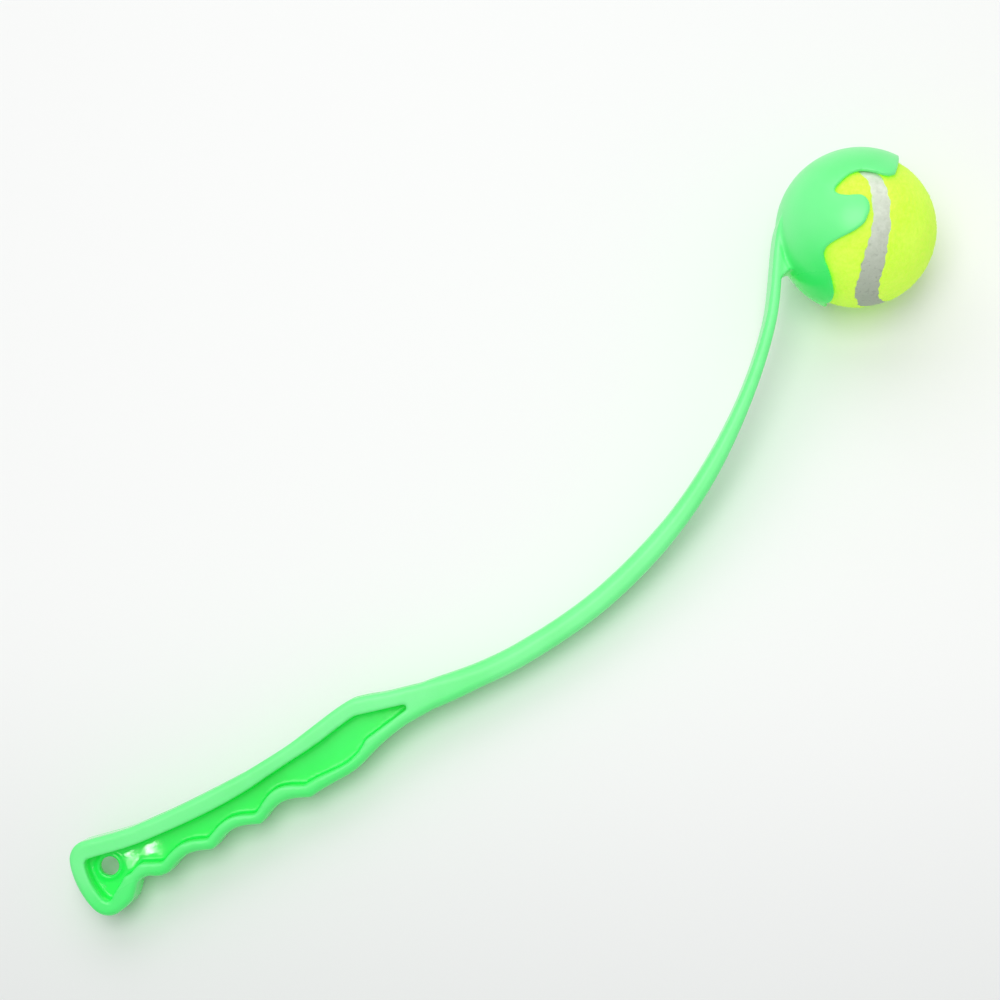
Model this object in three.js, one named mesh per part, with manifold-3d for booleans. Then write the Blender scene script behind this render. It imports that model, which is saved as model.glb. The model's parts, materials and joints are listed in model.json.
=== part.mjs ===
// A dog ball thrower with its tennis ball, lying on its side as it comes to rest on a table.
// Grip, shaft and cup are one plastic moulding. The ball is a rubber core in two halves, with two felt panels
// and a seam band between them.
// Lengths are millimetres. The moulding is drawn in the grip's own frame: the origin is the centre of the
// hanging hole, X runs along the grip to the shaft, Y to the back of the grip and Z across the throwing plane.

import * as THREE from 'three';
import { mergeVertices } from 'three/addons/utils/BufferGeometryUtils.js';
import { ConvexHull } from 'three/addons/math/ConvexHull.js';
import Module from 'manifold-3d';

const wasm = await Module();
wasm.setup();

// Sizes of the whole thrower
const beamWidth = 21;            // grip and shaft, across the throwing plane
const cupReach = 406.8;          // hanging hole to cup centre, along the grip
const cupRise = 89.4;            // and square to it, towards the back
const cutOverrun = 3;            // how far a cutting shape runs past what it cuts

// Sizes of the grip
const gripLength = 152.6;        // hanging hole to the neck, where the shaft starts
const gripDepth = 22;            // back edge to finger edge, at the middle of the grip
const buttLength = 14.4;         // hanging hole to the end of the butt
const buttEndRadius = 34;        // curve of the butt's end in the throwing plane
const buttMiddleHeight = -2;     // hole line to the middle of that curve
const buttBackRadius = 7.5;      // rounded corner of the butt at the back
const buttBackHeight = 14.8;     // hole line to the top of that corner
const buttEdgeRadius = 2.4;      // rounding of the butt's end across the throwing plane
const hookRadius = 8;            // rounded hook below the little finger
const hookHeight = 19.1;         // hole line to the tip of the hook
const hookGrooveDepth = 3;       // between the hook and the first bump
const backEdgeRadius = 2;        // rounding of the grip's long edges at the back
const fingerEdgeRadius = 2.8;    // and at the fingers
const fingerCount = 3;           // grooves between bumps
const firstBumpPlace = 22;       // hanging hole to the first bump
const fingerPitch = 21.3;        // length of the first groove
const fingerPitchGrowth = 1.45;  // each groove is longer than the last by this
const fingerGrooveDepth = 3.4;
const fingerGrooveDeepening = 0.4; // each groove is deeper than the last by this
const bumpHeight = 13.9;         // hole line to the tips of the bumps
const bumpSoftnessShare = 0.12;  // rounding of the bumps, as a share of the wave

// Sizes of the recess on each side of the grip
const webThickness = 3;          // what is left between the two recesses
const buttWall = 6;              // between the butt's end and the recess
const backWall = 8.2;            // between the back edge and the recess, at the butt
const fingerWall = 4.8;          // between the finger edge and the recess, at the grooves
const recessCornerRadius = 2.4;
const recessKinkPlace = 122;     // hanging hole to where the recess starts to run out
const recessTipPlace = 143;      // hanging hole to its pointed end
const recessTipHeight = 2.2;
const recessTipRise = 1;         // hole line to the middle of that end
const recessDraftShare = 0.03;   // slope of the recess walls
const holeRadius = 4;            // hanging hole
const bossRadius = 5.9;          // raised ring round the hanging hole
const bossRise = 1;              // how far that ring stands above the web

// Sizes of the shaft
const neckDepth = 12;            // in the throwing plane, at the neck
const neckRise = 0.6;            // hole line to the middle of the neck
const shaftDepthAtNeck = 10.4;
const shaftEndDepth = 3;         // at its end in the cup's wall
const neckBlendLength = 26;      // over which the neck thins down to the shaft
const backRoundingShare = 0.4;   // rounding of the shaft's edges, as shares of its depth
const frontRoundingShare = 0.26;
const gussetSpan = 6.5;          // gusset between shaft and cup, along its free edge
const gussetHollow = 1.2;        // how deep that edge is hollowed
const gussetInset = 0.5;         // the gusset is narrower than the shaft on each side

// Sizes of the cup
const ballRadius = 32.8;
const ballClearance = 0.5;       // between ball and cup with the ball in the middle
const pieceGap = 0.3;            // between pieces that touch
const cupWall = 1.9;
const mouthTurn = -49.4;         // which way the mouth points, degrees from the grip's X
const shaftTouchTurn = 152;      // where the shaft runs along the back of the cup, degrees from the grip's X
const shaftSinkTurn = 136;       // where its end has sunk into the cup's wall
const shaftSinkDepth = 2;        // how deep the middle of that end lies below a flush one

// Sizes of the ball
const feltThickness = 2.9;
const rubberThickness = 3.6;
const seamWidth = 8;             // bare band between the felt panels
const seamRecess = 0.5;          // how far the band lies below the felt
const seamLobeShare = 0.28;      // how far the seam's lobes swing, as a share of the ball's radius
const ballTurns = [-67.3, 32.2, -3.7]; // how the ball lies in the cup, degrees about X, Y and Z

// Weights, which settle how the thrower lies on the table
const plasticDensity = 0.00091;  // grams in a cubic millimetre
const ballWeight = 57;           // grams

// How finely curved surfaces are divided
const cornerSteps = 3;
const buttSteps = 10;
const gripStepsGrooved = 50;
const gripStepsPlain = 20;
const shaftSteps = 38;
const cupStepsRound = 88;
const cupStepsAlong = 10;
const ballSpaceSteps = 48;
const roundSides = 32;
const coreStepsAlong = 6;
const seamSteps = 64;
const panelStepsAcross = 12;

const cupInnerRadius = ballRadius + ballClearance;
const cupRadius = cupInnerRadius + cupWall;
const cupCentre = new THREE.Vector3(cupReach, cupRise, 0);
const faceHeight = beamWidth / 2;
const across = new THREE.Vector3(0, 0, 1);

function turned(degrees) {
  const angle = THREE.MathUtils.degToRad(degrees);
  return new THREE.Vector3(Math.cos(angle), Math.sin(angle), 0);
}

// Volume and centre of volume of a closed surface, summed from tetrahedra.
function weigh(geometry) {
  const point = geometry.getAttribute('position');
  const index = geometry.getIndex();
  const centre = new THREE.Vector3();
  let volume = 0;
  for (let i = 0; i < index.count; i += 3) {
    const [a, b, c] = [0, 1, 2].map((corner) => (
      new THREE.Vector3().fromBufferAttribute(point, index.getX(i + corner))
    ));
    const part = a.dot(b.clone().cross(c)) / 6;
    volume += part;
    centre.addScaledVector(a.add(b).add(c), part / 4);
  }
  return { volume, centre: centre.divideScalar(volume) };
}

// Merges the shared points of a closed surface and turns its faces outwards.
function outward(source) {
  const bare = source.clone();
  bare.deleteAttribute('normal');
  bare.deleteAttribute('uv');
  const geometry = mergeVertices(bare);
  if (weigh(geometry).volume < 0) {
    geometry.setIndex(Array.from(geometry.getIndex().array).reverse());
  }
  return geometry;
}

function closedSurface(positions, indices) {
  const geometry = new THREE.BufferGeometry();
  geometry.setAttribute('position', new THREE.Float32BufferAttribute(positions, 3));
  geometry.setIndex(indices);
  return outward(geometry);
}

function toSolid(geometry) {
  const merged = outward(geometry);
  return new wasm.Manifold(new wasm.Mesh({
    numProp: 3,
    vertProperties: Float32Array.from(merged.getAttribute('position').array),
    triVerts: Uint32Array.from(merged.getIndex().array),
  }));
}

function toGeometry(solid) {
  const mesh = solid.getMesh();
  return closedSurface(Array.from(mesh.vertProperties), Array.from(mesh.triVerts));
}

// Joins neighbouring rows of points by quads. Each row closes on itself.
function skin(rows, sides) {
  const indices = [];
  for (let row = 0; row < rows - 1; row += 1) {
    for (let side = 0; side < sides; side += 1) {
      const next = (side + 1) % sides;
      const here = row * sides;
      const there = here + sides;
      indices.push(here + side, here + next, there + next);
      indices.push(here + side, there + next, there + side);
    }
  }
  return indices;
}

function flatten(points) {
  return points.flatMap((point) => point.toArray());
}

// A solid skinned over a row of sections with equal numbers of points, with both ends capped.
function loft(sections) {
  const sides = sections[0].length;
  const indices = skin(sections.length, sides);
  const last = (sections.length - 1) * sides;
  for (let side = 1; side < sides - 1; side += 1) {
    indices.push(0, side + 1, side);
    indices.push(last, last + side, last + side + 1);
  }
  return closedSurface(flatten(sections.flat()), indices);
}

// A smooth curve y(x) through the given points that never swings past them.
function smoothThrough(points) {
  const slopes = points.slice(1).map(([x, y], i) => (y - points[i][1]) / (x - points[i][0]));
  const tangents = points.map((point, i) => {
    const before = slopes[i - 1] ?? slopes[i];
    const after = slopes[i] ?? slopes[i - 1];
    return before * after <= 0 ? 0 : (2 * before * after) / (before + after);
  });
  return (x) => {
    let i = 0;
    while (i < points.length - 2 && x > points[i + 1][0]) {
      i += 1;
    }
    const [x0, y0] = points[i];
    const [x1, y1] = points[i + 1];
    const span = x1 - x0;
    const t = THREE.MathUtils.clamp((x - x0) / span, 0, 1);
    const left = 1 - t;
    return y0 * left * left * (1 + 2 * t) + y1 * t * t * (1 + 2 * left)
      + span * t * left * (left * tangents[i] - t * tangents[i + 1]);
  };
}

// What a rounded corner takes off a height, at a distance from the end that it rounds.
function roundedOff(distance, radius) {
  const inside = radius - THREE.MathUtils.clamp(distance, 0, radius);
  return radius - Math.sqrt(radius * radius - inside * inside);
}

// The butt's end is a wide arc with a corner arc inside it at either side. This gives the height of that outline
// above the middle of the wide arc, at a distance from the end, where it levels off at the full height.
function endHeight(distance, endRadius, full, cornerRadius) {
  const rise = full - cornerRadius;
  const reach = Math.sqrt((endRadius - cornerRadius) ** 2 - rise ** 2);
  const touch = endRadius - (reach * endRadius) / (endRadius - cornerRadius);
  if (distance < touch) {
    return Math.sqrt(distance * (2 * endRadius - distance));
  }
  const inside = Math.max(endRadius - reach - distance, 0);
  return rise + Math.sqrt(cornerRadius * cornerRadius - inside * inside);
}

function endCorner(endRadius, full, cornerRadius) {
  return endRadius - Math.sqrt((endRadius - cornerRadius) ** 2 - (full - cornerRadius) ** 2);
}

// The grip's edges: heights above and below the hole line at a place along the grip.
const buttBackFull = buttBackHeight - buttMiddleHeight;
const backCornerPlace = endCorner(buttEndRadius, buttBackFull, buttBackRadius) - buttLength;
const backEdgeShares = [
  [0.121, 0.463], [0.275, 0.392], [0.434, 0.376], [0.511, 0.403], [0.596, 0.451], [0.675, 0.538],
  [0.774, 0.645], [0.807, 0.661], [0.839, 0.617], [0.902, 0.475], [0.973, 0.35],
];
const backEdge = smoothThrough([
  [backCornerPlace, buttBackHeight],
  ...backEdgeShares.map(([along, up]) => [along * gripLength, up * gripDepth]),
  [gripLength, neckDepth / 2 + neckRise],
]);

const buttHookFull = hookHeight + buttMiddleHeight;
const hookTipPlace = endCorner(buttEndRadius, buttHookFull, hookRadius) - buttLength;
const hookEdgeShares = [
  [0, 1], [0.21, 0.875], [0.33, 0.69], [0.43, 0.37], [0.52, 0.07], [0.63, 0], [0.72, 0.06], [0.8, 0.21],
  [0.9, 0.34],
];
const hookGrooveHeight = bumpHeight - hookGrooveDepth;
const hookEdge = smoothThrough([
  ...hookEdgeShares.map(([along, down]) => [
    hookTipPlace + along * (firstBumpPlace - hookTipPlace),
    hookGrooveHeight + down * (hookHeight - hookGrooveHeight),
  ]),
  [firstBumpPlace, bumpHeight],
]);

function bumpPlace(number) {
  return firstBumpPlace + number * fingerPitch + (number * (number - 1) * fingerPitchGrowth) / 2;
}

// Each groove is half a sine wave, softened where it meets the bumps.
function grooveEdge(x) {
  let number = 0;
  while (number < fingerCount - 1 && x > bumpPlace(number + 1)) {
    number += 1;
  }
  const along = (x - bumpPlace(number)) / (bumpPlace(number + 1) - bumpPlace(number));
  const wave = Math.hypot(Math.sin(Math.PI * along), bumpSoftnessShare) - bumpSoftnessShare;
  return bumpHeight - (fingerGrooveDepth + number * fingerGrooveDeepening) * wave;
}

const lastBumpPlace = bumpPlace(fingerCount);
const neckFront = neckDepth / 2 - neckRise;
const rampEdgeShares = [
  [0, 1], [0.1, 0.92], [0.3, 0.88], [0.38, 0.79], [0.46, 0.6], [0.58, 0.33], [0.7, 0.14], [0.8, 0.04], [1, 0],
];
const rampEdge = smoothThrough(rampEdgeShares.map(([along, down]) => [
  lastBumpPlace + along * (gripLength - lastBumpPlace),
  neckFront + down * (bumpHeight - neckFront),
]));

function fingerEdge(x) {
  if (x < firstBumpPlace) {
    return hookEdge(x);
  }
  return x < lastBumpPlace ? grooveEdge(x) : rampEdge(x);
}

// A rectangle with rounded corners. The place function puts a height and a side distance into space.
function roundedSection(place, { back, front, half, backRadius, frontRadius }) {
  const corners = [
    [back - backRadius, half - backRadius, backRadius, 0],
    [back - backRadius, backRadius - half, backRadius, -1],
    [frontRadius - front, frontRadius - half, frontRadius, -2],
    [frontRadius - front, half - frontRadius, frontRadius, -3],
  ];
  return corners.flatMap(([height, side, radius, quarter]) => (
    Array.from({ length: cornerSteps + 1 }, (unused, step) => {
      const angle = ((quarter + 1 - step / cornerSteps) * Math.PI) / 2;
      return place(height + radius * Math.cos(angle), side + radius * Math.sin(angle));
    })
  ));
}

function gripSection(x) {
  const fromEnd = x + buttLength;
  const buttBack = endHeight(fromEnd, buttEndRadius, buttBackFull, buttBackRadius);
  const buttHook = endHeight(fromEnd, buttEndRadius, buttHookFull, hookRadius);
  const back = backEdge(x) + buttBack - buttBackFull;
  const front = fingerEdge(x) + buttHook - buttHookFull;
  const half = faceHeight - roundedOff(fromEnd, buttEdgeRadius);
  const place = (height, side) => new THREE.Vector3(x, height, side);
  return roundedSection(place, {
    back, front, half, backRadius: backEdgeRadius, frontRadius: fingerEdgeRadius,
  });
}

function gripSections() {
  const places = [];
  for (let step = 1; step <= buttSteps; step += 1) {
    const angle = (step / (buttSteps + 1)) * (Math.PI / 2);
    places.push((hookTipPlace + buttLength) * (1 - Math.cos(angle)) - buttLength);
  }
  for (let step = 0; step < gripStepsGrooved; step += 1) {
    places.push(THREE.MathUtils.lerp(hookTipPlace, lastBumpPlace, step / gripStepsGrooved));
  }
  for (let step = 0; step < gripStepsPlain; step += 1) {
    places.push(THREE.MathUtils.lerp(lastBumpPlace, gripLength, step / gripStepsPlain));
  }
  return places.map(gripSection);
}

// The middle of the shaft, from the neck round the bow and along the back of the cup into its wall.
const shaftRouteShares = [
  [0.08, -0.0165], [0.169, -0.0255], [0.334, 0.029], [0.514, 0.204], [0.6686, 0.478], [0.794, 0.809],
];
const touchDirection = turned(shaftTouchTurn);
const touchRadius = cupRadius - shaftEndDepth / 2;
const touchPoint = cupCentre.clone().addScaledVector(touchDirection, touchRadius);
const sinkPoint = cupCentre.clone().addScaledVector(turned(shaftSinkTurn), touchRadius - shaftSinkDepth);
const shaftRoute = new THREE.CatmullRomCurve3([
  new THREE.Vector3(gripLength, neckRise, 0),
  ...shaftRouteShares.map(([along, up]) => new THREE.Vector3(
    gripLength + along * (cupReach - gripLength),
    up * cupRise,
    0,
  )),
  touchPoint,
  sinkPoint,
]);

// How far along its thinning the shaft is, at a share of its length.
const shaftThinningShares = [
  [0, 0], [0.2, 0.12], [0.4, 0.18], [0.5, 0.3], [0.57, 0.4], [0.64, 0.55], [0.71, 0.68], [0.8, 0.77],
  [0.9, 0.85], [1, 1],
];
const shaftThinning = smoothThrough(shaftThinningShares);

function shaftFrame(share) {
  const distance = share * shaftRoute.getLength();
  const blend = Math.min(distance / neckBlendLength, 1);
  const thinned = THREE.MathUtils.lerp(shaftDepthAtNeck, shaftEndDepth, shaftThinning(share));
  return {
    middle: shaftRoute.getPointAt(share),
    towardsBack: across.clone().cross(shaftRoute.getTangentAt(share)),
    blend,
    depth: THREE.MathUtils.lerp(neckDepth, thinned, THREE.MathUtils.smoothstep(blend, 0, 1)),
  };
}

function shaftSection(share) {
  const { middle, towardsBack, blend, depth } = shaftFrame(share);
  const place = (height, side) => (
    middle.clone().addScaledVector(towardsBack, height).addScaledVector(across, side)
  );
  return roundedSection(place, {
    back: depth / 2,
    front: depth / 2,
    half: faceHeight,
    backRadius: THREE.MathUtils.lerp(backEdgeRadius, backRoundingShare * depth, blend),
    frontRadius: THREE.MathUtils.lerp(fingerEdgeRadius, frontRoundingShare * depth, blend),
  });
}

function beam() {
  const shaftSections = Array.from({ length: shaftSteps + 1 }, (unused, step) => (
    shaftSection(step / shaftSteps)
  ));
  return toSolid(loft([...gripSections(), ...shaftSections]));
}

// Fills the corner between shaft and cup, down to where they are the gusset's span apart. Its free edge
// is hollowed towards the corner.
function gusset() {
  const half = faceHeight - gussetInset;
  const sideRadius = Math.sqrt(cupRadius * cupRadius - half * half);
  const frontFace = (share) => {
    const { middle, towardsBack, depth } = shaftFrame(share);
    return middle.clone().addScaledVector(towardsBack, -depth / 2);
  };
  let [low, high] = [0.5, 1];
  for (let halving = 0; halving < 40; halving += 1) {
    const middle = (low + high) / 2;
    const apart = frontFace(middle).distanceTo(cupCentre) > sideRadius + gussetSpan;
    [low, high] = apart ? [middle, high] : [low, middle];
  }
  const foot = frontFace(low);
  const shoulder = foot.clone().sub(cupCentre).setLength(sideRadius).add(cupCentre);
  const hollow = foot.clone().lerp(shoulder, 0.5)
    .addScaledVector(shaftRoute.getTangentAt(low), 2 * gussetHollow);
  const { middle } = shaftFrame(low);
  const outline = new THREE.Shape();
  outline.moveTo(cupCentre.x, cupCentre.y);
  outline.lineTo(touchPoint.x, touchPoint.y);
  outline.lineTo(middle.x, middle.y);
  outline.lineTo(foot.x, foot.y);
  outline.quadraticCurveTo(hollow.x, hollow.y, shoulder.x, shoulder.y);
  outline.closePath();
  const geometry = new THREE.ExtrudeGeometry(outline, {
    depth: 2 * half, bevelEnabled: false, curveSegments: roundSides / 4,
  });
  return toSolid(geometry.translate(0, 0, -half));
}

// The cup's edge: its angle from the mouth's axis, at an angle round that axis from the claw at the top
// of the throw. The other side of the throwing plane mirrors it.
const mouthDirection = turned(mouthTurn);
const topClawDirection = turned(mouthTurn + 90);
const cupEdge = smoothThrough([
  [0, 84], [46, 84], [50.5, 85.2], [53.5, 88], [55, 92], [55.6, 99], [56.2, 105], [57.6, 108.8], [60, 112],
  [64, 115.4], [69, 118.1], [74, 119.9], [77, 120], [78.4, 117], [79, 108], [79.4, 99], [80.4, 95.6],
  [82.5, 93.5], [87, 92], [92.5, 92], [99, 94.2], [105.7, 99.2], [111, 103.8], [116, 107.4], [120.7, 109.8],
  [125, 110.4], [130.4, 108.1], [135.6, 103.3], [142, 98.2], [150, 93.8], [157.5, 91.4], [165.5, 90.6],
  [174, 92.2], [180, 92.8],
]);

// Angles round the mouth's axis that cut the edge into equal lengths, so that its steep stretches are as fine
// as its level ones. Lengths are angles too: near the equator both run at the same rate.
function cupColumns() {
  const lengths = [0];
  for (let round = 1; round <= 180; round += 1) {
    lengths.push(lengths[round - 1] + Math.hypot(1, cupEdge(round) - cupEdge(round - 1)));
  }
  const columns = [];
  for (let column = 0; column <= cupStepsRound / 2; column += 1) {
    const length = (column / (cupStepsRound / 2)) * lengths[180];
    const after = Math.max(1, lengths.findIndex((reached) => reached >= length));
    const within = (length - lengths[after - 1]) / (lengths[after] - lengths[after - 1]);
    columns.push(after - 1 + within);
  }
  const mirrored = columns.slice(1, -1).reverse().map((round) => 360 - round);
  return [...columns, ...mirrored];
}

// A point on a sphere round the cup's centre: angle from the mouth's axis, and angle round it.
function cupPoint(radius, fromMouth, round) {
  const polar = THREE.MathUtils.degToRad(fromMouth);
  const turn = THREE.MathUtils.degToRad(round);
  return cupCentre.clone()
    .addScaledVector(mouthDirection, radius * Math.cos(polar))
    .addScaledVector(topClawDirection, radius * Math.sin(polar) * Math.cos(turn))
    .addScaledVector(across, radius * Math.sin(polar) * Math.sin(turn));
}

// The outside of the cup, closed by a cone from its edge to its centre, so that the edge is square to the wall.
function cupBlank() {
  const points = [cupPoint(cupRadius, 180, 0)];
  const indices = [];
  const columns = cupColumns();
  for (let row = 1; row <= cupStepsAlong; row += 1) {
    for (const round of columns) {
      const edge = cupEdge(Math.min(round, 360 - round));
      points.push(cupPoint(cupRadius, THREE.MathUtils.lerp(180, edge, row / cupStepsAlong), round));
    }
  }
  indices.push(...skin(cupStepsAlong, cupStepsRound).map((index) => index + 1));
  const lastRow = 1 + (cupStepsAlong - 1) * cupStepsRound;
  points.push(cupCentre);
  for (let side = 0; side < cupStepsRound; side += 1) {
    const next = (side + 1) % cupStepsRound;
    indices.push(0, 1 + next, 1 + side);
    indices.push(lastRow + side, lastRow + next, points.length - 1);
  }
  return toSolid(closedSurface(flatten(points), indices));
}

// The ball's space in the cup. Its facets lie outside the true sphere.
function ballSpace() {
  const radius = cupInnerRadius / Math.cos(Math.PI / ballSpaceSteps);
  const sphere = new THREE.SphereGeometry(radius, ballSpaceSteps, ballSpaceSteps / 2);
  return toSolid(sphere.translate(cupCentre.x, cupCentre.y, cupCentre.z));
}

// The recess follows both edges of the grip at the thickness of its walls. From its kink it runs out straight
// to a tip.
const recessStartPlace = buttWall - buttLength;
const recessEndRadius = buttEndRadius - buttWall;
const recessTipCorner = recessTipHeight / 3;
const recessTipCornerPlace = recessTipPlace - recessTipCorner;
const backWallShares = [[-0.044, 0.94], [0.17, 0.9], [0.33, 0.93], [0.58, 0.75], [0.69, 0.85], [0.8, 0.83]];
const fingerWallShares = [
  [-0.026, 1.3], [0.004, 1.76], [0.03, 1.86], [0.06, 1.05], [0.09, 1.24], [0.12, 1.3], [0.145, 1.07], [0.42, 1],
  [0.52, 1.27], [0.61, 1.15], [0.71, 0.92], [0.77, 1.04], [0.796, 1.29],
];
const backWallAt = smoothThrough(
  backWallShares.map(([along, share]) => [along * gripLength, share * backWall]),
);
const fingerWallAt = smoothThrough(
  fingerWallShares.map(([along, share]) => [along * gripLength, share * fingerWall]),
);

function recessEdges(x) {
  const upper = backEdge(x) - backWallAt(x);
  const lower = fingerWallAt(x) - fingerEdge(x);
  if (x <= recessKinkPlace) {
    const fromEnd = x - recessStartPlace;
    const upperFull = backEdge(recessStartPlace) - backWallAt(recessStartPlace) - buttMiddleHeight;
    const lowerFull = buttMiddleHeight + fingerEdge(hookTipPlace) - fingerWallAt(hookTipPlace);
    const upperDrop = upperFull - endHeight(fromEnd, recessEndRadius, upperFull, recessCornerRadius);
    const lowerDrop = lowerFull - endHeight(fromEnd, recessEndRadius, lowerFull, recessCornerRadius);
    return [upper - upperDrop, lower + lowerDrop];
  }
  const share = (x - recessKinkPlace) / (recessTipPlace - recessKinkPlace);
  const [kinkUpper, kinkLower] = recessEdges(recessKinkPlace);
  const corner = roundedOff(recessTipPlace - x, recessTipCorner);
  return [
    THREE.MathUtils.lerp(kinkUpper, recessTipRise + recessTipHeight / 2, share) - corner,
    THREE.MathUtils.lerp(kinkLower, recessTipRise - recessTipHeight / 2, share) + corner,
  ];
}

function recessSection(x, side) {
  const [upper, lower] = recessEdges(x);
  const floor = webThickness / 2;
  const narrowing = (faceHeight - floor) * recessDraftShare;
  const widening = cutOverrun * recessDraftShare;
  const top = faceHeight + cutOverrun;
  return [
    new THREE.Vector3(x, upper + widening, side * top),
    new THREE.Vector3(x, upper - narrowing, side * floor),
    new THREE.Vector3(x, lower + narrowing, side * floor),
    new THREE.Vector3(x, lower - widening, side * top),
  ];
}

function recess(side) {
  const places = [];
  for (let step = 1; step < buttSteps; step += 1) {
    const angle = (step / buttSteps) * (Math.PI / 2);
    places.push(recessStartPlace + (hookTipPlace - recessStartPlace) * (1 - Math.cos(angle)));
  }
  for (let step = 0; step < gripStepsGrooved; step += 1) {
    places.push(THREE.MathUtils.lerp(hookTipPlace, lastBumpPlace, step / gripStepsGrooved));
  }
  for (let step = 0; step < gripStepsPlain; step += 1) {
    places.push(THREE.MathUtils.lerp(lastBumpPlace, recessTipCornerPlace, step / gripStepsPlain));
  }
  for (let step = cornerSteps; step >= 0; step -= 1) {
    const angle = (step / cornerSteps) * (Math.PI / 2);
    places.push(recessTipPlace - recessTipCorner * (1 - Math.cos(angle)));
  }
  return toSolid(loft(places.map((x) => recessSection(x, side))));
}

function roundBar(radius, length) {
  const bar = new THREE.CylinderGeometry(radius, radius, length, roundSides);
  return toSolid(bar.rotateX(Math.PI / 2));
}

function moulding() {
  const bossHeight = webThickness + 2 * bossRise;
  return beam()
    .add(cupBlank())
    .add(gusset())
    .subtract(ballSpace())
    .subtract(recess(1))
    .subtract(recess(-1))
    .add(roundBar(bossRadius, bossHeight))
    .subtract(roundBar(holeRadius, bossHeight + 2 * cutOverrun));
}

// The ball, drawn round its own centre. The seam is the curve
// x = a cos t + b cos 3t, y = a sin t - b sin 3t, z = 2 sqrt(ab) sin 2t, with a + b the radius.
function seamPoint(t) {
  const b = seamLobeShare;
  const a = 1 - b;
  return new THREE.Vector3(
    a * Math.cos(t) + b * Math.cos(3 * t),
    a * Math.sin(t) - b * Math.sin(3 * t),
    2 * Math.sqrt(a * b) * Math.sin(2 * t),
  );
}

// A point on the unit sphere beside the seam, at an arc distance measured on the ball's surface.
function besideSeam(t, distance) {
  const step = Math.PI / seamSteps / 10;
  const ahead = seamPoint(t + step).sub(seamPoint(t - step)).normalize();
  const point = seamPoint(t).normalize();
  const sideways = ahead.cross(point);
  const angle = distance / ballRadius;
  return point.multiplyScalar(Math.cos(angle)).addScaledVector(sideways, Math.sin(angle));
}

const coreRadius = ballRadius - feltThickness - pieceGap;

// One half of the hollow rubber core, with its rim just off the middle plane.
function coreHalf() {
  const inner = coreRadius - rubberThickness;
  const profile = [];
  for (const [radius, first, last] of [[coreRadius, coreStepsAlong, 0], [inner, 0, coreStepsAlong]]) {
    const rim = Math.asin(pieceGap / 2 / radius);
    for (let step = first; step !== last + Math.sign(last - first); step += Math.sign(last - first)) {
      const angle = THREE.MathUtils.lerp(rim, Math.PI / 2, step / coreStepsAlong);
      const reach = step === coreStepsAlong ? 0 : radius * Math.cos(angle);
      profile.push(new THREE.Vector2(reach, radius * Math.sin(angle)));
    }
  }
  return outward(new THREE.LatheGeometry(profile, roundSides));
}

// A felt panel: great arcs across it join the seam's two sides, from one lobe's tip to the other's.
function feltPanel() {
  const rows = seamSteps / 2;
  const edgeDistance = seamWidth / 2 + pieceGap;
  const grid = [];
  for (let row = 0; row <= rows; row += 1) {
    const t = Math.PI / 4 + (row / rows) * Math.PI;
    const left = besideSeam(t, edgeDistance);
    const right = new THREE.Vector3(left.y, left.x, left.z);
    const arc = left.angleTo(right);
    for (let column = 0; column <= panelStepsAcross; column += 1) {
      const share = column / panelStepsAcross;
      const point = arc === 0 ? left.clone() : left.clone().multiplyScalar(Math.sin((1 - share) * arc))
        .addScaledVector(right, Math.sin(share * arc));
      grid.push(point.normalize());
    }
  }
  const columns = panelStepsAcross + 1;
  const under = ballRadius - feltThickness;
  const outer = grid.map((point) => point.clone().multiplyScalar(ballRadius));
  const inner = grid.map((point) => point.clone().multiplyScalar(under));
  const indices = [];
  const quad = (a, b, c, d) => indices.push(a, b, c, a, c, d);
  for (let row = 0; row < rows; row += 1) {
    for (let column = 0; column < panelStepsAcross; column += 1) {
      const corner = row * columns + column;
      quad(corner, corner + 1, corner + columns + 1, corner + columns);
      const below = corner + grid.length;
      quad(below, below + columns, below + columns + 1, below + 1);
    }
    for (const [here, there] of [[row * columns, (row + 1) * columns],
      [(row + 1) * columns + panelStepsAcross, row * columns + panelStepsAcross]]) {
      quad(here, there, there + grid.length, here + grid.length);
    }
  }
  return closedSurface(flatten([...outer, ...inner]), indices);
}

function seamBand() {
  const top = ballRadius - seamRecess;
  const bottom = ballRadius - feltThickness;
  const edge = seamWidth / 2;
  const corners = [[edge, top], [0, top], [-edge, top], [-edge, bottom], [0, bottom], [edge, bottom]];
  const points = [];
  for (let step = 0; step < seamSteps; step += 1) {
    const t = Math.PI / 4 + (step / seamSteps) * 2 * Math.PI;
    points.push(...corners.map(([side, radius]) => besideSeam(t, side).multiplyScalar(radius)));
  }
  const indices = skin(seamSteps + 1, corners.length).map((index) => index % points.length);
  return closedSurface(flatten(points), indices);
}

function piece(name, geometry, colour, roughness) {
  const material = new THREE.MeshStandardMaterial({ color: colour, roughness, metalness: 0 });
  const mesh = new THREE.Mesh(geometry, material);
  mesh.name = name;
  geometry.computeVertexNormals();
  return mesh;
}

function ball() {
  const felt = '#d2fb46';
  const rubber = '#3a3d3b';
  const group = new THREE.Group();
  const turnedOver = piece('rubber_core_half_2', coreHalf(), rubber, 0.8);
  turnedOver.rotation.x = Math.PI;
  const otherPanel = piece('felt_panel_2', feltPanel(), felt, 1);
  otherPanel.rotation.x = Math.PI;
  group.add(piece('rubber_core_half_1', coreHalf(), rubber, 0.8));
  group.add(turnedOver);
  group.add(piece('felt_panel_1', feltPanel(), felt, 1));
  group.add(otherPanel);
  group.add(piece('seam_band', seamBand(), '#c3c8bb', 0.9));
  group.rotation.set(...ballTurns.map((degrees) => THREE.MathUtils.degToRad(degrees)));
  group.position.copy(cupCentre).addScaledVector(mouthDirection, pieceGap - ballClearance);
  return group;
}

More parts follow.
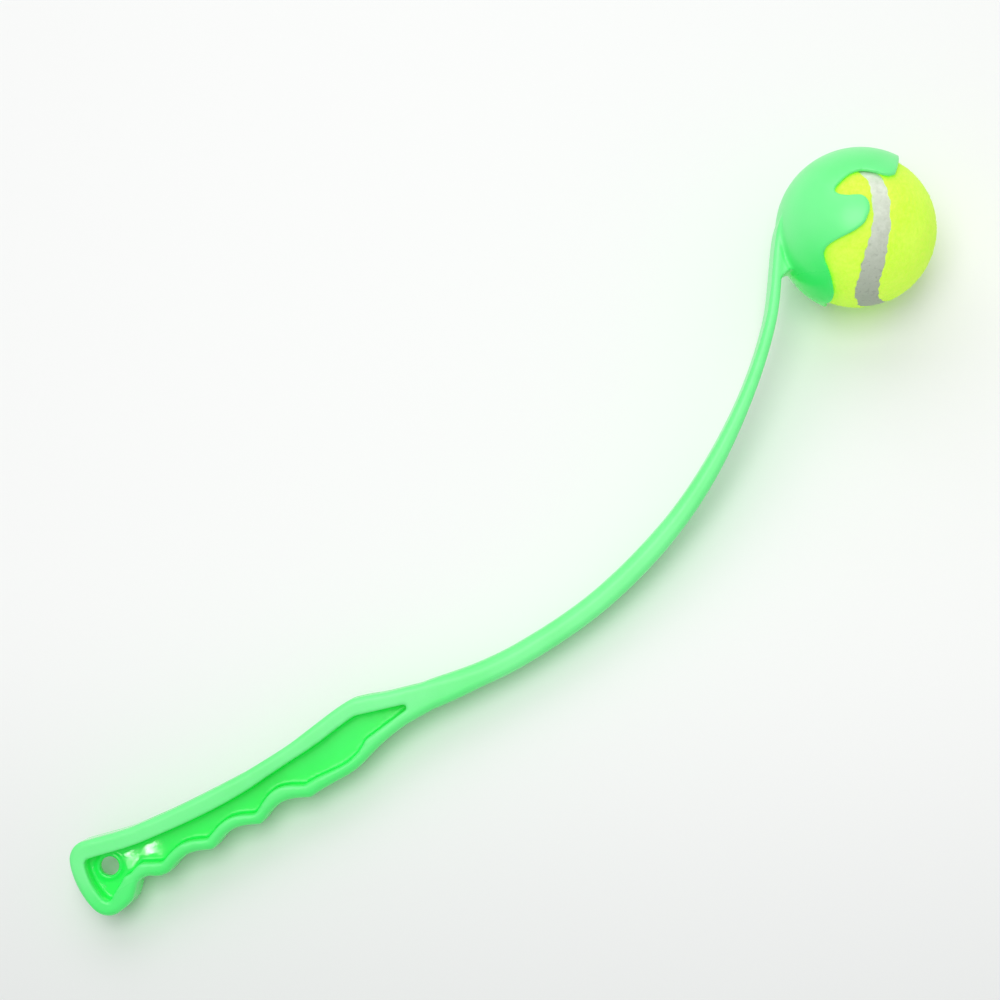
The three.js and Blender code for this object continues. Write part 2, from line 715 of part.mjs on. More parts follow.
// The direction that ends up pointing down: the piece rolls over its hull, to the face that lies below its
// centre of mass, until it lies on that face.
function restingDown(geometry, centreOfMass) {
  const hull = new ConvexHull().setFromObject(new THREE.Mesh(geometry));
  const down = new THREE.Vector3(0, 0, -1);
  let lying = null;
  for (const unused of hull.faces) {
    const reach = (face) => {
      const facing = face.normal.dot(down);
      return facing > 0 ? -face.distanceToPoint(centreOfMass) / facing : Infinity;
    };
    const below = hull.faces.reduce((best, face) => (reach(face) < reach(best) ? face : best));
    if (below === lying) {
      break;
    }
    lying = below;
    down.copy(below.normal);
  }
  return down;
}

// Stands the group on the floor as it rests, with the line from hanging hole to cup along X and the middle
// of its footprint at the origin.
function layDown(group, down) {
  const up = down.clone().negate();
  const along = cupCentre.clone().addScaledVector(up, -cupCentre.dot(up)).normalize();
  const sideways = up.clone().cross(along);
  const frame = new THREE.Matrix4().makeBasis(along, sideways, up).transpose();
  group.quaternion.setFromRotationMatrix(frame);
  const box = new THREE.Box3().setFromObject(group, true);
  const middle = box.getCenter(new THREE.Vector3());
  group.position.set(-middle.x, -middle.y, -box.min.z);
  return group;
}

const thrower = piece('thrower_moulding', toGeometry(moulding()), '#62f983', 0.4);
const loadedBall = ball();
const { volume, centre } = weigh(thrower.geometry);
const mouldingWeight = volume * plasticDensity;
const centreOfMass = centre.clone()
  .lerp(loadedBall.position, ballWeight / (ballWeight + mouldingWeight));
const group = new THREE.Group();
group.add(thrower, loadedBall);

export default layDown(group, restingDown(thrower.geometry, centreOfMass));
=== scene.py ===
import json
import math

import bmesh
import bpy
import numpy as np
from mathutils import Matrix


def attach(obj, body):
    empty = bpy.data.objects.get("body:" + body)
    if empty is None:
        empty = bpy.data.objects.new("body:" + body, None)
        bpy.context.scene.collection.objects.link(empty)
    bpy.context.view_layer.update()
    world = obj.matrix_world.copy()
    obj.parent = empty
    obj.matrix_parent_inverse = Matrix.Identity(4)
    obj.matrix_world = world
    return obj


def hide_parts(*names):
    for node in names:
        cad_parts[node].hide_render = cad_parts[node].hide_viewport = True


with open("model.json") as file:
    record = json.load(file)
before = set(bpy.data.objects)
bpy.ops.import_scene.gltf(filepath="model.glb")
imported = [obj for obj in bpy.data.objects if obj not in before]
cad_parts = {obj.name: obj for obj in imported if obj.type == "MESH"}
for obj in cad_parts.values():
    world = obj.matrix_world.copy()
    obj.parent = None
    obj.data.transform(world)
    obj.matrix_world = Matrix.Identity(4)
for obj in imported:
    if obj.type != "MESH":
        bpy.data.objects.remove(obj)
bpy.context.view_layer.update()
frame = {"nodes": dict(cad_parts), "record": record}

# A dog ball thrower with its tennis ball, lying on its side on a pale table. Shapes are worked out in
# millimetres in the grip's own frame: its origin is at the hanging hole, x runs along the grip, y towards its
# back and z across the throwing plane. onTable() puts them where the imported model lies, in metres.

millimetre = 0.001


def unit(v):
    v = np.asarray(v, float)
    return v / np.linalg.norm(v, axis=-1, keepdims=True)


def turned(degrees):  # a direction in the throwing plane, by its angle from the grip's x
    return np.array([math.cos(math.radians(degrees)), math.sin(math.radians(degrees)), 0])


thrower = {
    "width": 21.0,  # grip and shaft, across the throwing plane
    "cupPlace": (406.8, 89.4, 0.0),
    "mouthTurn": -49.4,  # which way the mouth points, in degrees from the grip's x
    "ballDeeper": 0.2,  # how much deeper than the cup's centre the ball lies
    "voxel": 0.55,  # fineness of the moulding's skin
    "softening": (0.5, 4),  # strength and number of the passes that round its edges
    "kept": 0.435,  # share of the skin's triangles that is kept
    "settling": (0.4, 4),  # strength and number of the passes that even out the kept ones
    "shadingWeight": 70,  # how far the larger faces steer the shading, 50 being evenly
}

# The grip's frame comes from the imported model: the rim faces along z, and the ball leaves along the mouth.
mounts = {mount["name"]: mount for mount in frame["record"]["mounts"]}
release = frame["record"]["behaviour"]["joints"][0]
mouthWay = turned(thrower["mouthTurn"])
acrossAxis = unit(mounts["grip_rim"]["axis"])
mouthAxis = unit(release["axis"])
alongAxis = unit(mouthAxis * mouthWay[0] - np.cross(acrossAxis, mouthAxis) * mouthWay[1])
gripAxes = np.stack([alongAxis, np.cross(acrossAxis, alongAxis), acrossAxis])
ballCentre = np.array(release["pos_m"])
cupCentre = np.array(thrower["cupPlace"])
holeCentre = ballCentre + (thrower["ballDeeper"] * mouthAxis - cupCentre @ gripAxes) * millimetre


def onTable(points):
    return holeCentre + np.asarray(points) @ gripAxes * millimetre


camera = {
    "distance": 0.9065, "lens": 77.4,  # the lens in mm, for a frame 36 mm wide
    "aim": (0.00871, 0.01752, 0.03501),
    "spin": 0.6973,  # turn of the picture, in radians
    "tilt": (-0.2924, -0.1778),  # lean away from straight down, in radians
}


def turnAbout(vector):
    # The turn about a vector by its length a in radians: I + sin a K + (1 - cos a) K^2, where K v = axis x v.
    angle = max(np.linalg.norm(vector), 1e-9)
    x, y, z = np.asarray(vector, float) / angle
    cross = np.array([[0, -z, y], [z, 0, -x], [-y, x, 0]])
    return np.eye(3) + math.sin(angle) * cross + (1 - math.cos(angle)) * cross @ cross


def place(obj, axes, position):  # axes are the rows right, up and back
    matrix = np.eye(4)
    matrix[:3, :3] = np.asarray(axes).T
    matrix[:3, 3] = position
    obj.matrix_world = Matrix(matrix.tolist())


def addObject(name, data):
    obj = bpy.data.objects.new(name, data)
    bpy.context.scene.collection.objects.link(obj)
    return obj


viewAxes = turnAbout([*camera["tilt"], 0.0]) @ turnAbout([0.0, 0.0, camera["spin"]])
lensData = bpy.data.cameras.new("camera")
lensData.lens = camera["lens"]
cameraObject = addObject("camera", lensData)
place(cameraObject, viewAxes, np.array(camera["aim"]) + camera["distance"] * viewAxes[2])
bpy.context.scene.camera = cameraObject
bpy.context.scene.view_settings.view_transform = "Standard"
print("camera placed")


def linear(hexColour):  # an sRGB hex colour as the linear values that sockets take
    value = np.array([int(hexColour[i:i + 2], 16) for i in (1, 3, 5)]) / 255
    value = np.where(value <= 0.04045, value / 12.92, ((value + 0.055) / 1.055) ** 2.4)
    return (*value.tolist(), 1.0)


# Settings that several nodes share. A colour mix has its colours at inputs 6 and 7, its result at output 2.
dotProduct, difference, distance = [{"operation": name} for name in ("DOT_PRODUCT", "SUBTRACT", "LENGTH")]
smoothStep, colourMix = {"interpolation_type": "SMOOTHSTEP"}, {"data_type": "RGBA"}


def addNode(material, kind, settings=(), **links):
    # Adds one node. Settings are its own properties; links are socket values, or (node, output) pairs.
    tree = material.node_tree
    node = tree.nodes.new("ShaderNode" + kind)
    for name, value in dict(settings).items():
        setattr(node, name, value)
    for name, value in links.items():
        key = int(name[1:]) if name[0] == "_" and name[1:].isdigit() else name.replace("_", " ")
        if isinstance(value, tuple) and len(value) == 2 and isinstance(value[0], bpy.types.Node):
            tree.links.new(value[0].outputs[value[1]], node.inputs[key])
        else:
            node.inputs[key].default_value = value
    return node


def newMaterial(name):  # a material, and its Object coordinates as a (node, output) pair
    material = bpy.data.materials.new(name)
    material.use_nodes = True
    material.node_tree.nodes.clear()
    return material, (addNode(material, "TexCoord"), "Object")


def finishMaterial(material, shader):
    addNode(material, "OutputMaterial", Surface=(shader, "BSDF"))
    return material


# Directions to the lamps are in the picture's own axes: right, up and towards the camera.
table = {
    # The near colour is painted shade, the lamps' fall-off towards the viewer.
    "colour": "#F9FAF9", "paintedShadeColour": "#E8EAE9", "nearFrom": 0.0, "nearTo": 0.24,
    "size": 6.0, "roughness": 0.6,
    "worldLight": 0.5,
    "keyPower": 7.8, "keySize": (0.8, 0.8), "keyDistance": 1.4, "keyFrom": (-0.16, 0.26, 1.0),
    "topPower": 7.8, "topSize": (1.6, 1.1), "topDistance": 1.8, "topFrom": (-0.25, 0.95, 0.6),
    "lampPower": 0.012, "lampSize": (0.007, 0.011), "lampDistance": 1.3,
    "lampAims": ((8.4, 0.4), (18.6, -2.4)),  # where they shine on the web, in mm from the hole
}


def makeTable():
    half = table["size"] / 2
    corners = [(-half, -half, 0), (half, -half, 0), (half, half, 0), (-half, half, 0)]
    mesh = bpy.data.meshes.new("table_top")
    mesh.from_pydata(corners, [], [(0, 1, 2, 3)])
    top = addObject("table_top", mesh)
    # Matt white board. The slightly greyer tone towards the viewer is painted shade: the lamps' light falling
    # off across it.
    material, where = newMaterial("paintedBoard")
    nearness = addNode(material, "VectorMath", dotProduct, _0=where, _1=tuple(-viewAxes[1]))
    tone = addNode(material, "MapRange", smoothStep, Value=(nearness, "Value"), From_Min=table["nearFrom"],
                   From_Max=table["nearTo"])
    colour = addNode(material, "Mix", colourMix, Factor=(tone, "Result"), _6=linear(table["colour"]),
                     _7=linear(table["paintedShadeColour"]))
    shader = addNode(material, "BsdfPrincipled", Base_Color=(colour, 2), Roughness=table["roughness"])
    mesh.materials.append(finishMaterial(material, shader))


def makeLight(name, direction, aim=camera["aim"]):
    data = bpy.data.lights.new(name, "AREA")
    data.shape = "RECTANGLE"
    data.size, data.size_y = table[name + "Size"]
    data.energy = table[name + "Power"]
    back = unit(direction)
    right = unit(np.cross(viewAxes[1], back))
    place(addObject(name, data), [right, np.cross(back, right), back],
          np.array(aim) + table[name + "Distance"] * back)


def makeWorld():
    world = bpy.data.worlds.new("studio")
    world.use_nodes = True
    background = world.node_tree.nodes["Background"]
    background.inputs["Color"].default_value = (1, 1, 1, 1)
    background.inputs["Strength"].default_value = table["worldLight"]
    bpy.context.scene.world = world


makeTable()
makeWorld()
for lightName in ("key", "top"):
    makeLight(lightName, np.array(table[lightName + "From"]) @ viewAxes)
# Small lamps stand where the web beside the hanging hole mirrors them to the camera: 2 (n . v) n - v.
for along, up in table["lampAims"]:
    spot = onTable([along, up, 0])
    toCamera = unit(np.array(cameraObject.matrix_world.translation) - spot)
    makeLight("lamp", 2 * (acrossAxis @ toCamera) * acrossAxis - toCamera, spot)
print("table and lights made")


def smoothThrough(points):
    # A curve y(x) through the points that never swings past them: cubic pieces, whose slope at a point is the
    # harmonic mean 2 a b / (a + b) of the slopes on both sides, or level where these differ in sign.
    px, py = np.array(points, float).T
    slope = np.diff(py) / np.diff(px)
    before, after = np.append(slope[0], slope), np.append(slope, slope[-1])
    level = before * after <= 0
    tangent = np.where(level, 0.0, 2 * before * after / np.where(level, 1.0, before + after))

    def curve(x):
        x = np.clip(x, px[0], px[-1])
        i = np.clip(np.searchsorted(px, x) - 1, 0, len(slope) - 1)
        span = px[i + 1] - px[i]
        t = (x - px[i]) / span
        left = 1 - t
        return (py[i] * left ** 2 * (1 + 2 * t) + py[i + 1] * t ** 2 * (1 + 2 * left)
                + span * t * left * (left * tangent[i] - t * tangent[i + 1]))
    return curve


def gridFaces(rows, sides, wrapped=False):
    # The quads between neighbours on a grid whose rows are rings. A wrapped grid's last row joins its first.
    r, s = np.meshgrid(np.arange(rows if wrapped else rows - 1), np.arange(sides), indexing="ij")
    here, ahead = r * sides, (r + 1) % rows * sides
    beside = (s + 1) % sides
    return np.stack([here + s, here + beside, ahead + beside, ahead + s], -1).reshape(-1, 4)


def solidOf(name, rings, caps="fan"):
    # A closed skin over rings of points, (rows, sides, 3). The first and last rings are closed by a fan to
    # their middle, or by strips between their two halves, or the rows wrap round from last to first.
    rows, sides = rings.shape[:2]
    faces = gridFaces(rows, sides, caps == "wrap").tolist()
    points = rings.reshape(-1, 3)
    ends = (0, (rows - 1) * sides)
    if caps == "fan":
        ring = np.arange(sides)
        points = np.vstack([points, rings[0].mean(0), rings[-1].mean(0)])
        for start, middle in zip(ends, (rows * sides, rows * sides + 1)):
            fan = [start + ring, start + (ring + 1) % sides, np.full(sides, middle)]
            faces += np.stack(fan, -1).tolist()
    if caps == "strip":
        i = np.arange(sides // 2 - 1)
        for start in ends:
            faces += (start + np.stack([i, i + 1, sides - 2 - i, sides - 1 - i], -1)).tolist()
    mesh = bpy.data.meshes.new(name)
    mesh.from_pydata(onTable(points).tolist(), [], faces)
    shape = bmesh.new()
    shape.from_mesh(mesh)
    bmesh.ops.recalc_face_normals(shape, faces=shape.faces)
    shape.to_mesh(mesh)
    shape.free()
    return addObject(name, mesh)


def dress(obj, material):
    obj.data.materials.clear()
    obj.data.materials.append(material)
    obj.data.polygons.foreach_set("use_smooth", np.ones(len(obj.data.polygons), bool))
    obj.data.update()


# The moulding: grip, recess, shaft, gusset and cup. Shares are parts of a length, a depth or a wall.
grip = {
    "length": 152.6, "depth": 22.0,
    "buttLength": 14.4, "buttEndRadius": 34.0, "buttMiddle": -2.0, "buttBackRadius": 7.5,
    "buttBackHeight": 14.8, "buttEdgeRadius": 2.4,
    "hookRadius": 8.0, "hookHeight": 19.1, "hookGrooveDepth": 3.0,
    "backEdgeRadius": 2.0, "fingerEdgeRadius": 2.8,
    "fingers": 3, "firstBump": 22.0, "pitch": 21.3, "pitchGrowth": 1.45,
    "grooveDepth": 3.4, "grooveDeepening": 0.4, "bumpHeight": 13.9, "bumpSoftness": 0.12,
    "neckDepth": 12.0, "neckRise": 0.6,
    "buttRows": 36, "rowSpacing": 0.6, "rampSpacing": 1.0, "beforeNeck": 0.5,
    "backShares": [(0.121, 0.463), (0.275, 0.392), (0.434, 0.376), (0.511, 0.403), (0.596, 0.451),
                   (0.675, 0.538), (0.774, 0.645), (0.807, 0.661), (0.839, 0.617), (0.902, 0.475),
                   (0.973, 0.35)],
    "hookShares": [(0, 1), (0.21, 0.875), (0.33, 0.69), (0.43, 0.37), (0.52, 0.07), (0.63, 0), (0.72, 0.06),
                   (0.8, 0.21), (0.9, 0.34)],
    "rampShares": [(0, 1), (0.1, 0.92), (0.3, 0.88), (0.38, 0.79), (0.46, 0.6), (0.58, 0.33), (0.7, 0.14),
                   (0.8, 0.04), (1, 0)],
}

recess = {
    "web": 3.0, "buttWall": 6.0, "backWall": 8.2, "fingerWall": 4.8, "cornerRadius": 2.4,
    "kink": 122.0, "tip": 143.0, "tipHeight": 2.2, "tipRise": 1.0, "draft": 0.03,
    "backRim": 0.4, "fingerRim": 0.6,  # rounding of the recess's rim on either side
    "rimBlend": 12, "rimSteps": 9, "cutAbove": 3.0,
    "buttRows": 40, "rowSpacing": 0.7, "tipRows": 6, "tipReach": 0.75,
    "holeRadius": 4.0, "bossRadius": 5.9, "bossRise": 1.0, "bossRounding": 0.9, "bossInHole": 0.4,
    "backShares": [(-0.044, 0.94), (0.17, 0.9), (0.33, 0.93), (0.58, 0.75), (0.69, 0.85), (0.8, 0.83)],
    "fingerShares": [(-0.026, 1.3), (0.004, 1.76), (0.03, 1.86), (0.06, 1.05), (0.09, 1.24), (0.12, 1.3),
                     (0.145, 1.07), (0.42, 1), (0.52, 1.27), (0.61, 1.15), (0.71, 0.92), (0.77, 1.04),
                     (0.796, 1.29)],
}

shaft = {
    "depthAtNeck": 10.4, "endDepth": 3.0, "neckBlend": 26.0, "backRounding": 0.4, "frontRounding": 0.26,
    "routeShares": [(0.08, -0.0165), (0.169, -0.0255), (0.334, 0.029), (0.514, 0.204), (0.6686, 0.478),
                    (0.794, 0.809)],
    "thinning": [(0, 0), (0.2, 0.12), (0.4, 0.18), (0.5, 0.3), (0.57, 0.4), (0.64, 0.55), (0.71, 0.68),
                 (0.8, 0.77), (0.9, 0.85), (1, 1)],
    "rows": 420, "stepsPerPiece": 200,
    "touchTurn": 152.0, "sinkTurn": 136.0, "sinkDepth": 2.0,
    "gussetSpan": 6.5, "gussetHollow": 1.2, "gussetInset": 0.5,
}

cup = {
    "innerRadius": 33.3, "wall": 1.9, "lipRadius": 0.7,
    # The free edge: the angle round the mouth's axis from the upper claw, then the angle from that axis.
    "edge": [(0, 83.5), (41, 83.5), (49.4, 83.7), (53.2, 86.5), (54.9, 90.4), (55.1, 94.9), (55.3, 99.2),
             (55.8, 104.6), (56.9, 108.1), (59.3, 111.5), (61.9, 114), (66.5, 116.8), (71.6, 119.1),
             (75.1, 120.3), (78, 120.2), (80, 118.1), (80.7, 114.1), (79.8, 109), (78.6, 105.4),
             (77.2, 101.1), (77.7, 98.2), (79.3, 95.7), (82.4, 93.4), (87.2, 92), (93.2, 92), (99.3, 94.4),
             (105.8, 99.2), (111.3, 104), (116, 107.4), (120.7, 109.8), (125.3, 110.4), (130.5, 108.1),
             (135.6, 103.3), (142.1, 98.3), (150.1, 93.9), (157.4, 91.3), (165.6, 90.6), (175, 92.4),
             (180, 92.8)],
    # The side lobe's corner overhangs the notch, so rows that end near it start further round the bowl.
    "lobeCorner": 19, "overhang": 10.8, "overhangWidth": 13.5, "swingPower": 6,
    "edgePoints": 241, "bowlRows": 90, "poleGap": 0.004, "lipSteps": 7,
}
cup["radius"] = cup["innerRadius"] + cup["wall"]


def endCorner(endRadius, full, cornerRadius):
    # How far from its end the butt's outline is level: R - sqrt((R - c)^2 - (h - c)^2).
    return endRadius - math.sqrt((endRadius - cornerRadius) ** 2 - (full - cornerRadius) ** 2)


def endHeight(fromEnd, endRadius, full, cornerRadius):
    # Height of the butt's outline at a distance d from its end: a wide arc sqrt(d (2R - d)), then a corner
    # arc h - c + sqrt(c^2 - (l - d)^2) inside it, then level at h from the distance l on.
    level = endCorner(endRadius, full, cornerRadius)
    touch = endRadius - (endRadius - level) * endRadius / (endRadius - cornerRadius)
    inside = np.maximum(level - fromEnd, 0)
    corner = full - cornerRadius + np.sqrt(np.maximum(cornerRadius ** 2 - inside ** 2, 0))
    wide = np.sqrt(np.maximum(fromEnd * (2 * endRadius - fromEnd), 0))
    return np.where(fromEnd < touch, wide, corner)


def arcDrop(fromEdge, radius):  # how much lower a rounded edge is, near it: r - sqrt(r^2 - (r - d)^2)
    inside = radius - np.clip(fromEdge, 0, radius)
    return radius - np.sqrt(radius ** 2 - inside ** 2)


buttBackFull = grip["buttBackHeight"] - grip["buttMiddle"]
buttHookFull = grip["hookHeight"] + grip["buttMiddle"]
backCorner = endCorner(grip["buttEndRadius"], buttBackFull, grip["buttBackRadius"]) - grip["buttLength"]
hookTip = endCorner(grip["buttEndRadius"], buttHookFull, grip["hookRadius"]) - grip["buttLength"]
hookGroove = grip["bumpHeight"] - grip["hookGrooveDepth"]
bumps = [grip["firstBump"] + n * grip["pitch"] + n * (n - 1) * grip["pitchGrowth"] / 2
         for n in range(grip["fingers"] + 1)]
neckFront = grip["neckDepth"] / 2 - grip["neckRise"]

backEdge = smoothThrough([(backCorner, grip["buttBackHeight"]),
                          *[(a * grip["length"], b * grip["depth"]) for a, b in grip["backShares"]],
                          (grip["length"], grip["neckDepth"] / 2 + grip["neckRise"])])
hookEdge = smoothThrough([*[(hookTip + a * (bumps[0] - hookTip),
                             hookGroove + b * (grip["hookHeight"] - hookGroove))
                            for a, b in grip["hookShares"]], (bumps[0], grip["bumpHeight"])])
rampEdge = smoothThrough([(bumps[-1] + a * (grip["length"] - bumps[-1]),
                           neckFront + b * (grip["bumpHeight"] - neckFront)) for a, b in grip["rampShares"]])


def fingerEdge(x):
    # Hook, then grooves, then the ramp to the neck. A groove is half a sine wave softened at the bumps:
    # bump height - depth (sqrt(sin^2 + s^2) - s).
    number = np.clip(np.searchsorted(bumps, x) - 1, 0, grip["fingers"] - 1)
    start, end = np.array(bumps)[number], np.array(bumps)[number + 1]
    soft = grip["bumpSoftness"]
    wave = np.hypot(np.sin(np.pi * (x - start) / (end - start)), soft) - soft
    groove = grip["bumpHeight"] - (grip["grooveDepth"] + number * grip["grooveDeepening"]) * wave
    return np.where(x < bumps[0], hookEdge(x), np.where(x < bumps[-1], groove, rampEdge(x)))


def roundedRings(middle, towardsBack, back, front, half, backRadius, frontRadius, steps=8):
    # One ring for each row: a rectangle from -front to back and from -half to half, with a quarter circle
    # centre + r (cos a, sin a) at each corner.
    turn = np.linspace(1, 0, steps + 1)
    corners = [(back - backRadius, half - backRadius, backRadius, 0),
               (back - backRadius, backRadius - half, backRadius, -1),
               (frontRadius - front, frontRadius - half, frontRadius, -2),
               (frontRadius - front, half - frontRadius, frontRadius, -3)]
    height = np.hstack([h[:, None] + r[:, None] * np.cos((q + turn) * np.pi / 2) for h, w, r, q in corners])
    side = np.hstack([w[:, None] + r[:, None] * np.sin((q + turn) * np.pi / 2) for h, w, r, q in corners])
    return (middle[:, None] + height[..., None] * towardsBack[:, None]
            + side[..., None] * np.array([0, 0, 1.0]))


def gripRings():
    # Rounded rectangles along x between the finger edge and the back edge, less the drop to the butt's arcs.
    # The rows crowd towards the butt's end: x = reach (1 - cos a) - the butt's length.
    reach = hookTip + grip["buttLength"]
    ease = 1 - np.cos(np.linspace(0.03, np.pi / 2, grip["buttRows"], endpoint=False))
    x = np.concatenate([reach * ease - grip["buttLength"], np.arange(hookTip, bumps[-1], grip["rowSpacing"]),
                        np.arange(bumps[-1], grip["length"] - grip["beforeNeck"], grip["rampSpacing"])])
    fromEnd = x + grip["buttLength"]
    backDrop = buttBackFull - endHeight(fromEnd, grip["buttEndRadius"], buttBackFull, grip["buttBackRadius"])
    hookDrop = buttHookFull - endHeight(fromEnd, grip["buttEndRadius"], buttHookFull, grip["hookRadius"])
    zero = np.zeros_like(x)
    return roundedRings(np.stack([x, zero, zero], -1), np.tile([0, 1.0, 0], (len(x), 1)),
                        backEdge(x) - backDrop, fingerEdge(x) - hookDrop,
                        thrower["width"] / 2 - arcDrop(fromEnd, grip["buttEdgeRadius"]),
                        np.full_like(x, grip["backEdgeRadius"]), np.full_like(x, grip["fingerEdgeRadius"]))


touchRadius = cup["radius"] - shaft["endDepth"] / 2
touchPoint = cupCentre + touchRadius * turned(shaft["touchTurn"])
sinkPoint = cupCentre + (touchRadius - shaft["sinkDepth"]) * turned(shaft["sinkTurn"])


def routePoints(count):
    # The shaft's middle line: a centripetal Catmull-Rom spline, read off at equal steps of its length. Its
    # pieces are cubics between knots, with times in proportion to the root of the knots' distances.
    via = [(grip["length"] + a * (cupCentre[0] - grip["length"]), b * cupCentre[1], 0)
           for a, b in shaft["routeShares"]]
    knots = np.array([(grip["length"], grip["neckRise"], 0), *via, touchPoint, sinkPoint], float)
    knots = np.vstack([2 * knots[0] - knots[1], knots, 2 * knots[-1] - knots[-2]])
    a, b, c, d = knots[:-3], knots[1:-2], knots[2:-1], knots[3:]
    gap = np.linalg.norm(np.diff(knots, axis=0), axis=1)[:, None] ** 0.5
    g0, g1, g2 = gap[:-2], gap[1:-1], gap[2:]
    start = g1 * ((b - a) / g0 - (c - a) / (g0 + g1) + (c - b) / g1)
    end = g1 * ((c - b) / g1 - (d - b) / (g1 + g2) + (d - c) / g2)
    t = np.linspace(0, 1, shaft["stepsPerPiece"], endpoint=False)[None, :, None]
    line = (b[:, None] * (1 - t) ** 2 * (1 + 2 * t) + c[:, None] * t ** 2 * (3 - 2 * t)
            + start[:, None] * t * (1 - t) ** 2 - end[:, None] * t ** 2 * (1 - t))
    line = np.vstack([line.reshape(-1, 3), sinkPoint])
    length = np.append(0, np.cumsum(np.linalg.norm(np.diff(line, axis=0), axis=1)))
    at = np.linspace(0, length[-1], count)
    middle = np.stack([np.interp(at, length, line[:, k]) for k in range(3)], -1)
    return middle, np.cross([0, 0, 1.0], unit(np.gradient(middle, axis=0))), at


shaftMiddle, shaftBack, shaftAt = routePoints(shaft["rows"])
shaftBlend = np.minimum(shaftAt / shaft["neckBlend"], 1)
shaftThinning = smoothThrough(shaft["thinning"])(shaftAt / shaftAt[-1])
shaftDepth = shaft["depthAtNeck"] + (shaft["endDepth"] - shaft["depthAtNeck"]) * shaftThinning
shaftDepth = grip["neckDepth"] + (shaftDepth - grip["neckDepth"]) * shaftBlend ** 2 * (3 - 2 * shaftBlend)


def shaftRings():
    # Rounded rectangles along the middle line. A corner's radius runs from the grip's to a share of the
    # depth: r + (share depth - r) blend.
    radii = [radius + (share * shaftDepth - radius) * shaftBlend
             for radius, share in ((grip["backEdgeRadius"], shaft["backRounding"]),
                                   (grip["fingerEdgeRadius"], shaft["frontRounding"]))]
    return roundedRings(shaftMiddle, shaftBack, shaftDepth / 2, shaftDepth / 2,
                        np.full_like(shaftDepth, thrower["width"] / 2), *radii)


def gussetRings():
    # A plate in the corner between shaft and cup. Its free edge is a quadratic curve hollowed into the
    # corner: foot (1 - t)^2 + 2 bend t (1 - t) + shoulder t^2.
    half = thrower["width"] / 2 - shaft["gussetInset"]
    sideRadius = math.sqrt(cup["radius"] ** 2 - half ** 2)
    front = shaftMiddle - shaftBack * shaftDepth[:, None] / 2
    later = np.arange(len(front)) > len(front) // 2
    here = np.argmax(later & (np.linalg.norm(front - cupCentre, axis=1) < sideRadius + shaft["gussetSpan"]))
    foot = front[here]
    shoulder = cupCentre + sideRadius * unit(foot - cupCentre)
    bend = (foot + shoulder) / 2 + 2 * shaft["gussetHollow"] * np.cross(shaftBack[here], [0, 0, 1.0])
    t = np.linspace(0, 1, 24)[:, None]
    free = foot * (1 - t) ** 2 + 2 * bend * t * (1 - t) + shoulder * t ** 2
    outline = np.vstack([cupCentre, touchPoint, shaftMiddle[here], free])
    return np.stack([outline + [0, 0, -half], outline + [0, 0, half]])


recessStart = recess["buttWall"] - grip["buttLength"]


def recessEdges(x):
    # The recess's upper and lower edge: the grip's outline less its walls, and less the drop to the butt's
    # arcs, as far as the kink. Straight lines run on to the tip, which has a small arc at each corner.
    endRadius = grip["buttEndRadius"] - recess["buttWall"]
    backWall, fingerWall = [
        smoothThrough([(a * grip["length"], b * recess[side + "Wall"]) for a, b in recess[side + "Shares"]])
        for side in ("back", "finger")]
    upperFull = backEdge(recessStart) - backWall(recessStart) - grip["buttMiddle"]
    lowerFull = grip["buttMiddle"] + fingerEdge(hookTip) - fingerWall(hookTip)

    def nearButt(at):
        upperDrop, lowerDrop = [
            full - endHeight(at - recessStart, endRadius, full, recess["cornerRadius"])
            for full in (upperFull, lowerFull)]
        return backEdge(at) - backWall(at) - upperDrop, fingerWall(at) - fingerEdge(at) + lowerDrop

    upper, lower = nearButt(np.minimum(x, recess["kink"]))
    kinkUpper, kinkLower = nearButt(np.array(recess["kink"]))
    share = np.clip((x - recess["kink"]) / (recess["tip"] - recess["kink"]), 0, 1)
    corner = arcDrop(recess["tip"] - x, recess["tipHeight"] / 3)
    tipUpper = recess["tipRise"] + recess["tipHeight"] / 2
    tipLower = recess["tipRise"] - recess["tipHeight"] / 2
    pastKink = x > recess["kink"]
    return (np.where(pastKink, kinkUpper + (tipUpper - kinkUpper) * share - corner, upper),
            np.where(pastKink, kinkLower + (tipLower - kinkLower) * share + corner, lower))


def recessRings(side):
    # The recess's outline, carried up a profile: a drafted wall, then a rim that rounds outwards by its own
    # radius r, from offset r (1 - cos a) at height face - r (1 - sin a).
    ease = 1 - np.cos(np.linspace(0.02, np.pi / 2, recess["buttRows"], endpoint=False))
    tipEase = np.cos(np.linspace(0.1, np.pi / 2 - 0.1, recess["tipRows"]))
    x = np.concatenate([recessStart + (hookTip - recessStart) * ease,
                        np.arange(hookTip, recess["tip"] - recess["tipReach"] - 0.05, recess["rowSpacing"]),
                        recess["tip"] - recess["tipReach"] * tipEase])
    upper, lower = recessEdges(x)
    outline = np.vstack([np.stack([x, upper], -1), np.stack([x, lower], -1)[::-1]])
    ahead = unit(np.roll(outline, -1, 0) - np.roll(outline, 1, 0))
    outwards = np.stack([-ahead[:, 1], ahead[:, 0]], -1)
    rim = np.where(np.arange(len(outline)) < len(x), recess["backRim"], recess["fingerRim"])
    window = 2 * recess["rimBlend"] + 1
    rim = np.convolve(np.pad(rim, recess["rimBlend"], mode="wrap"), np.ones(window) / window, mode="valid")
    face, floor = thrower["width"] / 2, recess["web"] / 2
    turn = np.linspace(0, np.pi / 2, recess["rimSteps"])
    levels = [(np.full_like(rim, -recess["draft"] * (face - floor)), np.full_like(rim, floor))]
    levels += [(rim * (1 - math.cos(a)), face - rim * (1 - math.sin(a))) for a in turn]
    levels += [(rim * 1.02, np.full_like(rim, face + recess["cutAbove"]))]
    return np.stack([np.column_stack([outline + offset[:, None] * outwards, side * height])
                     for offset, height in levels])


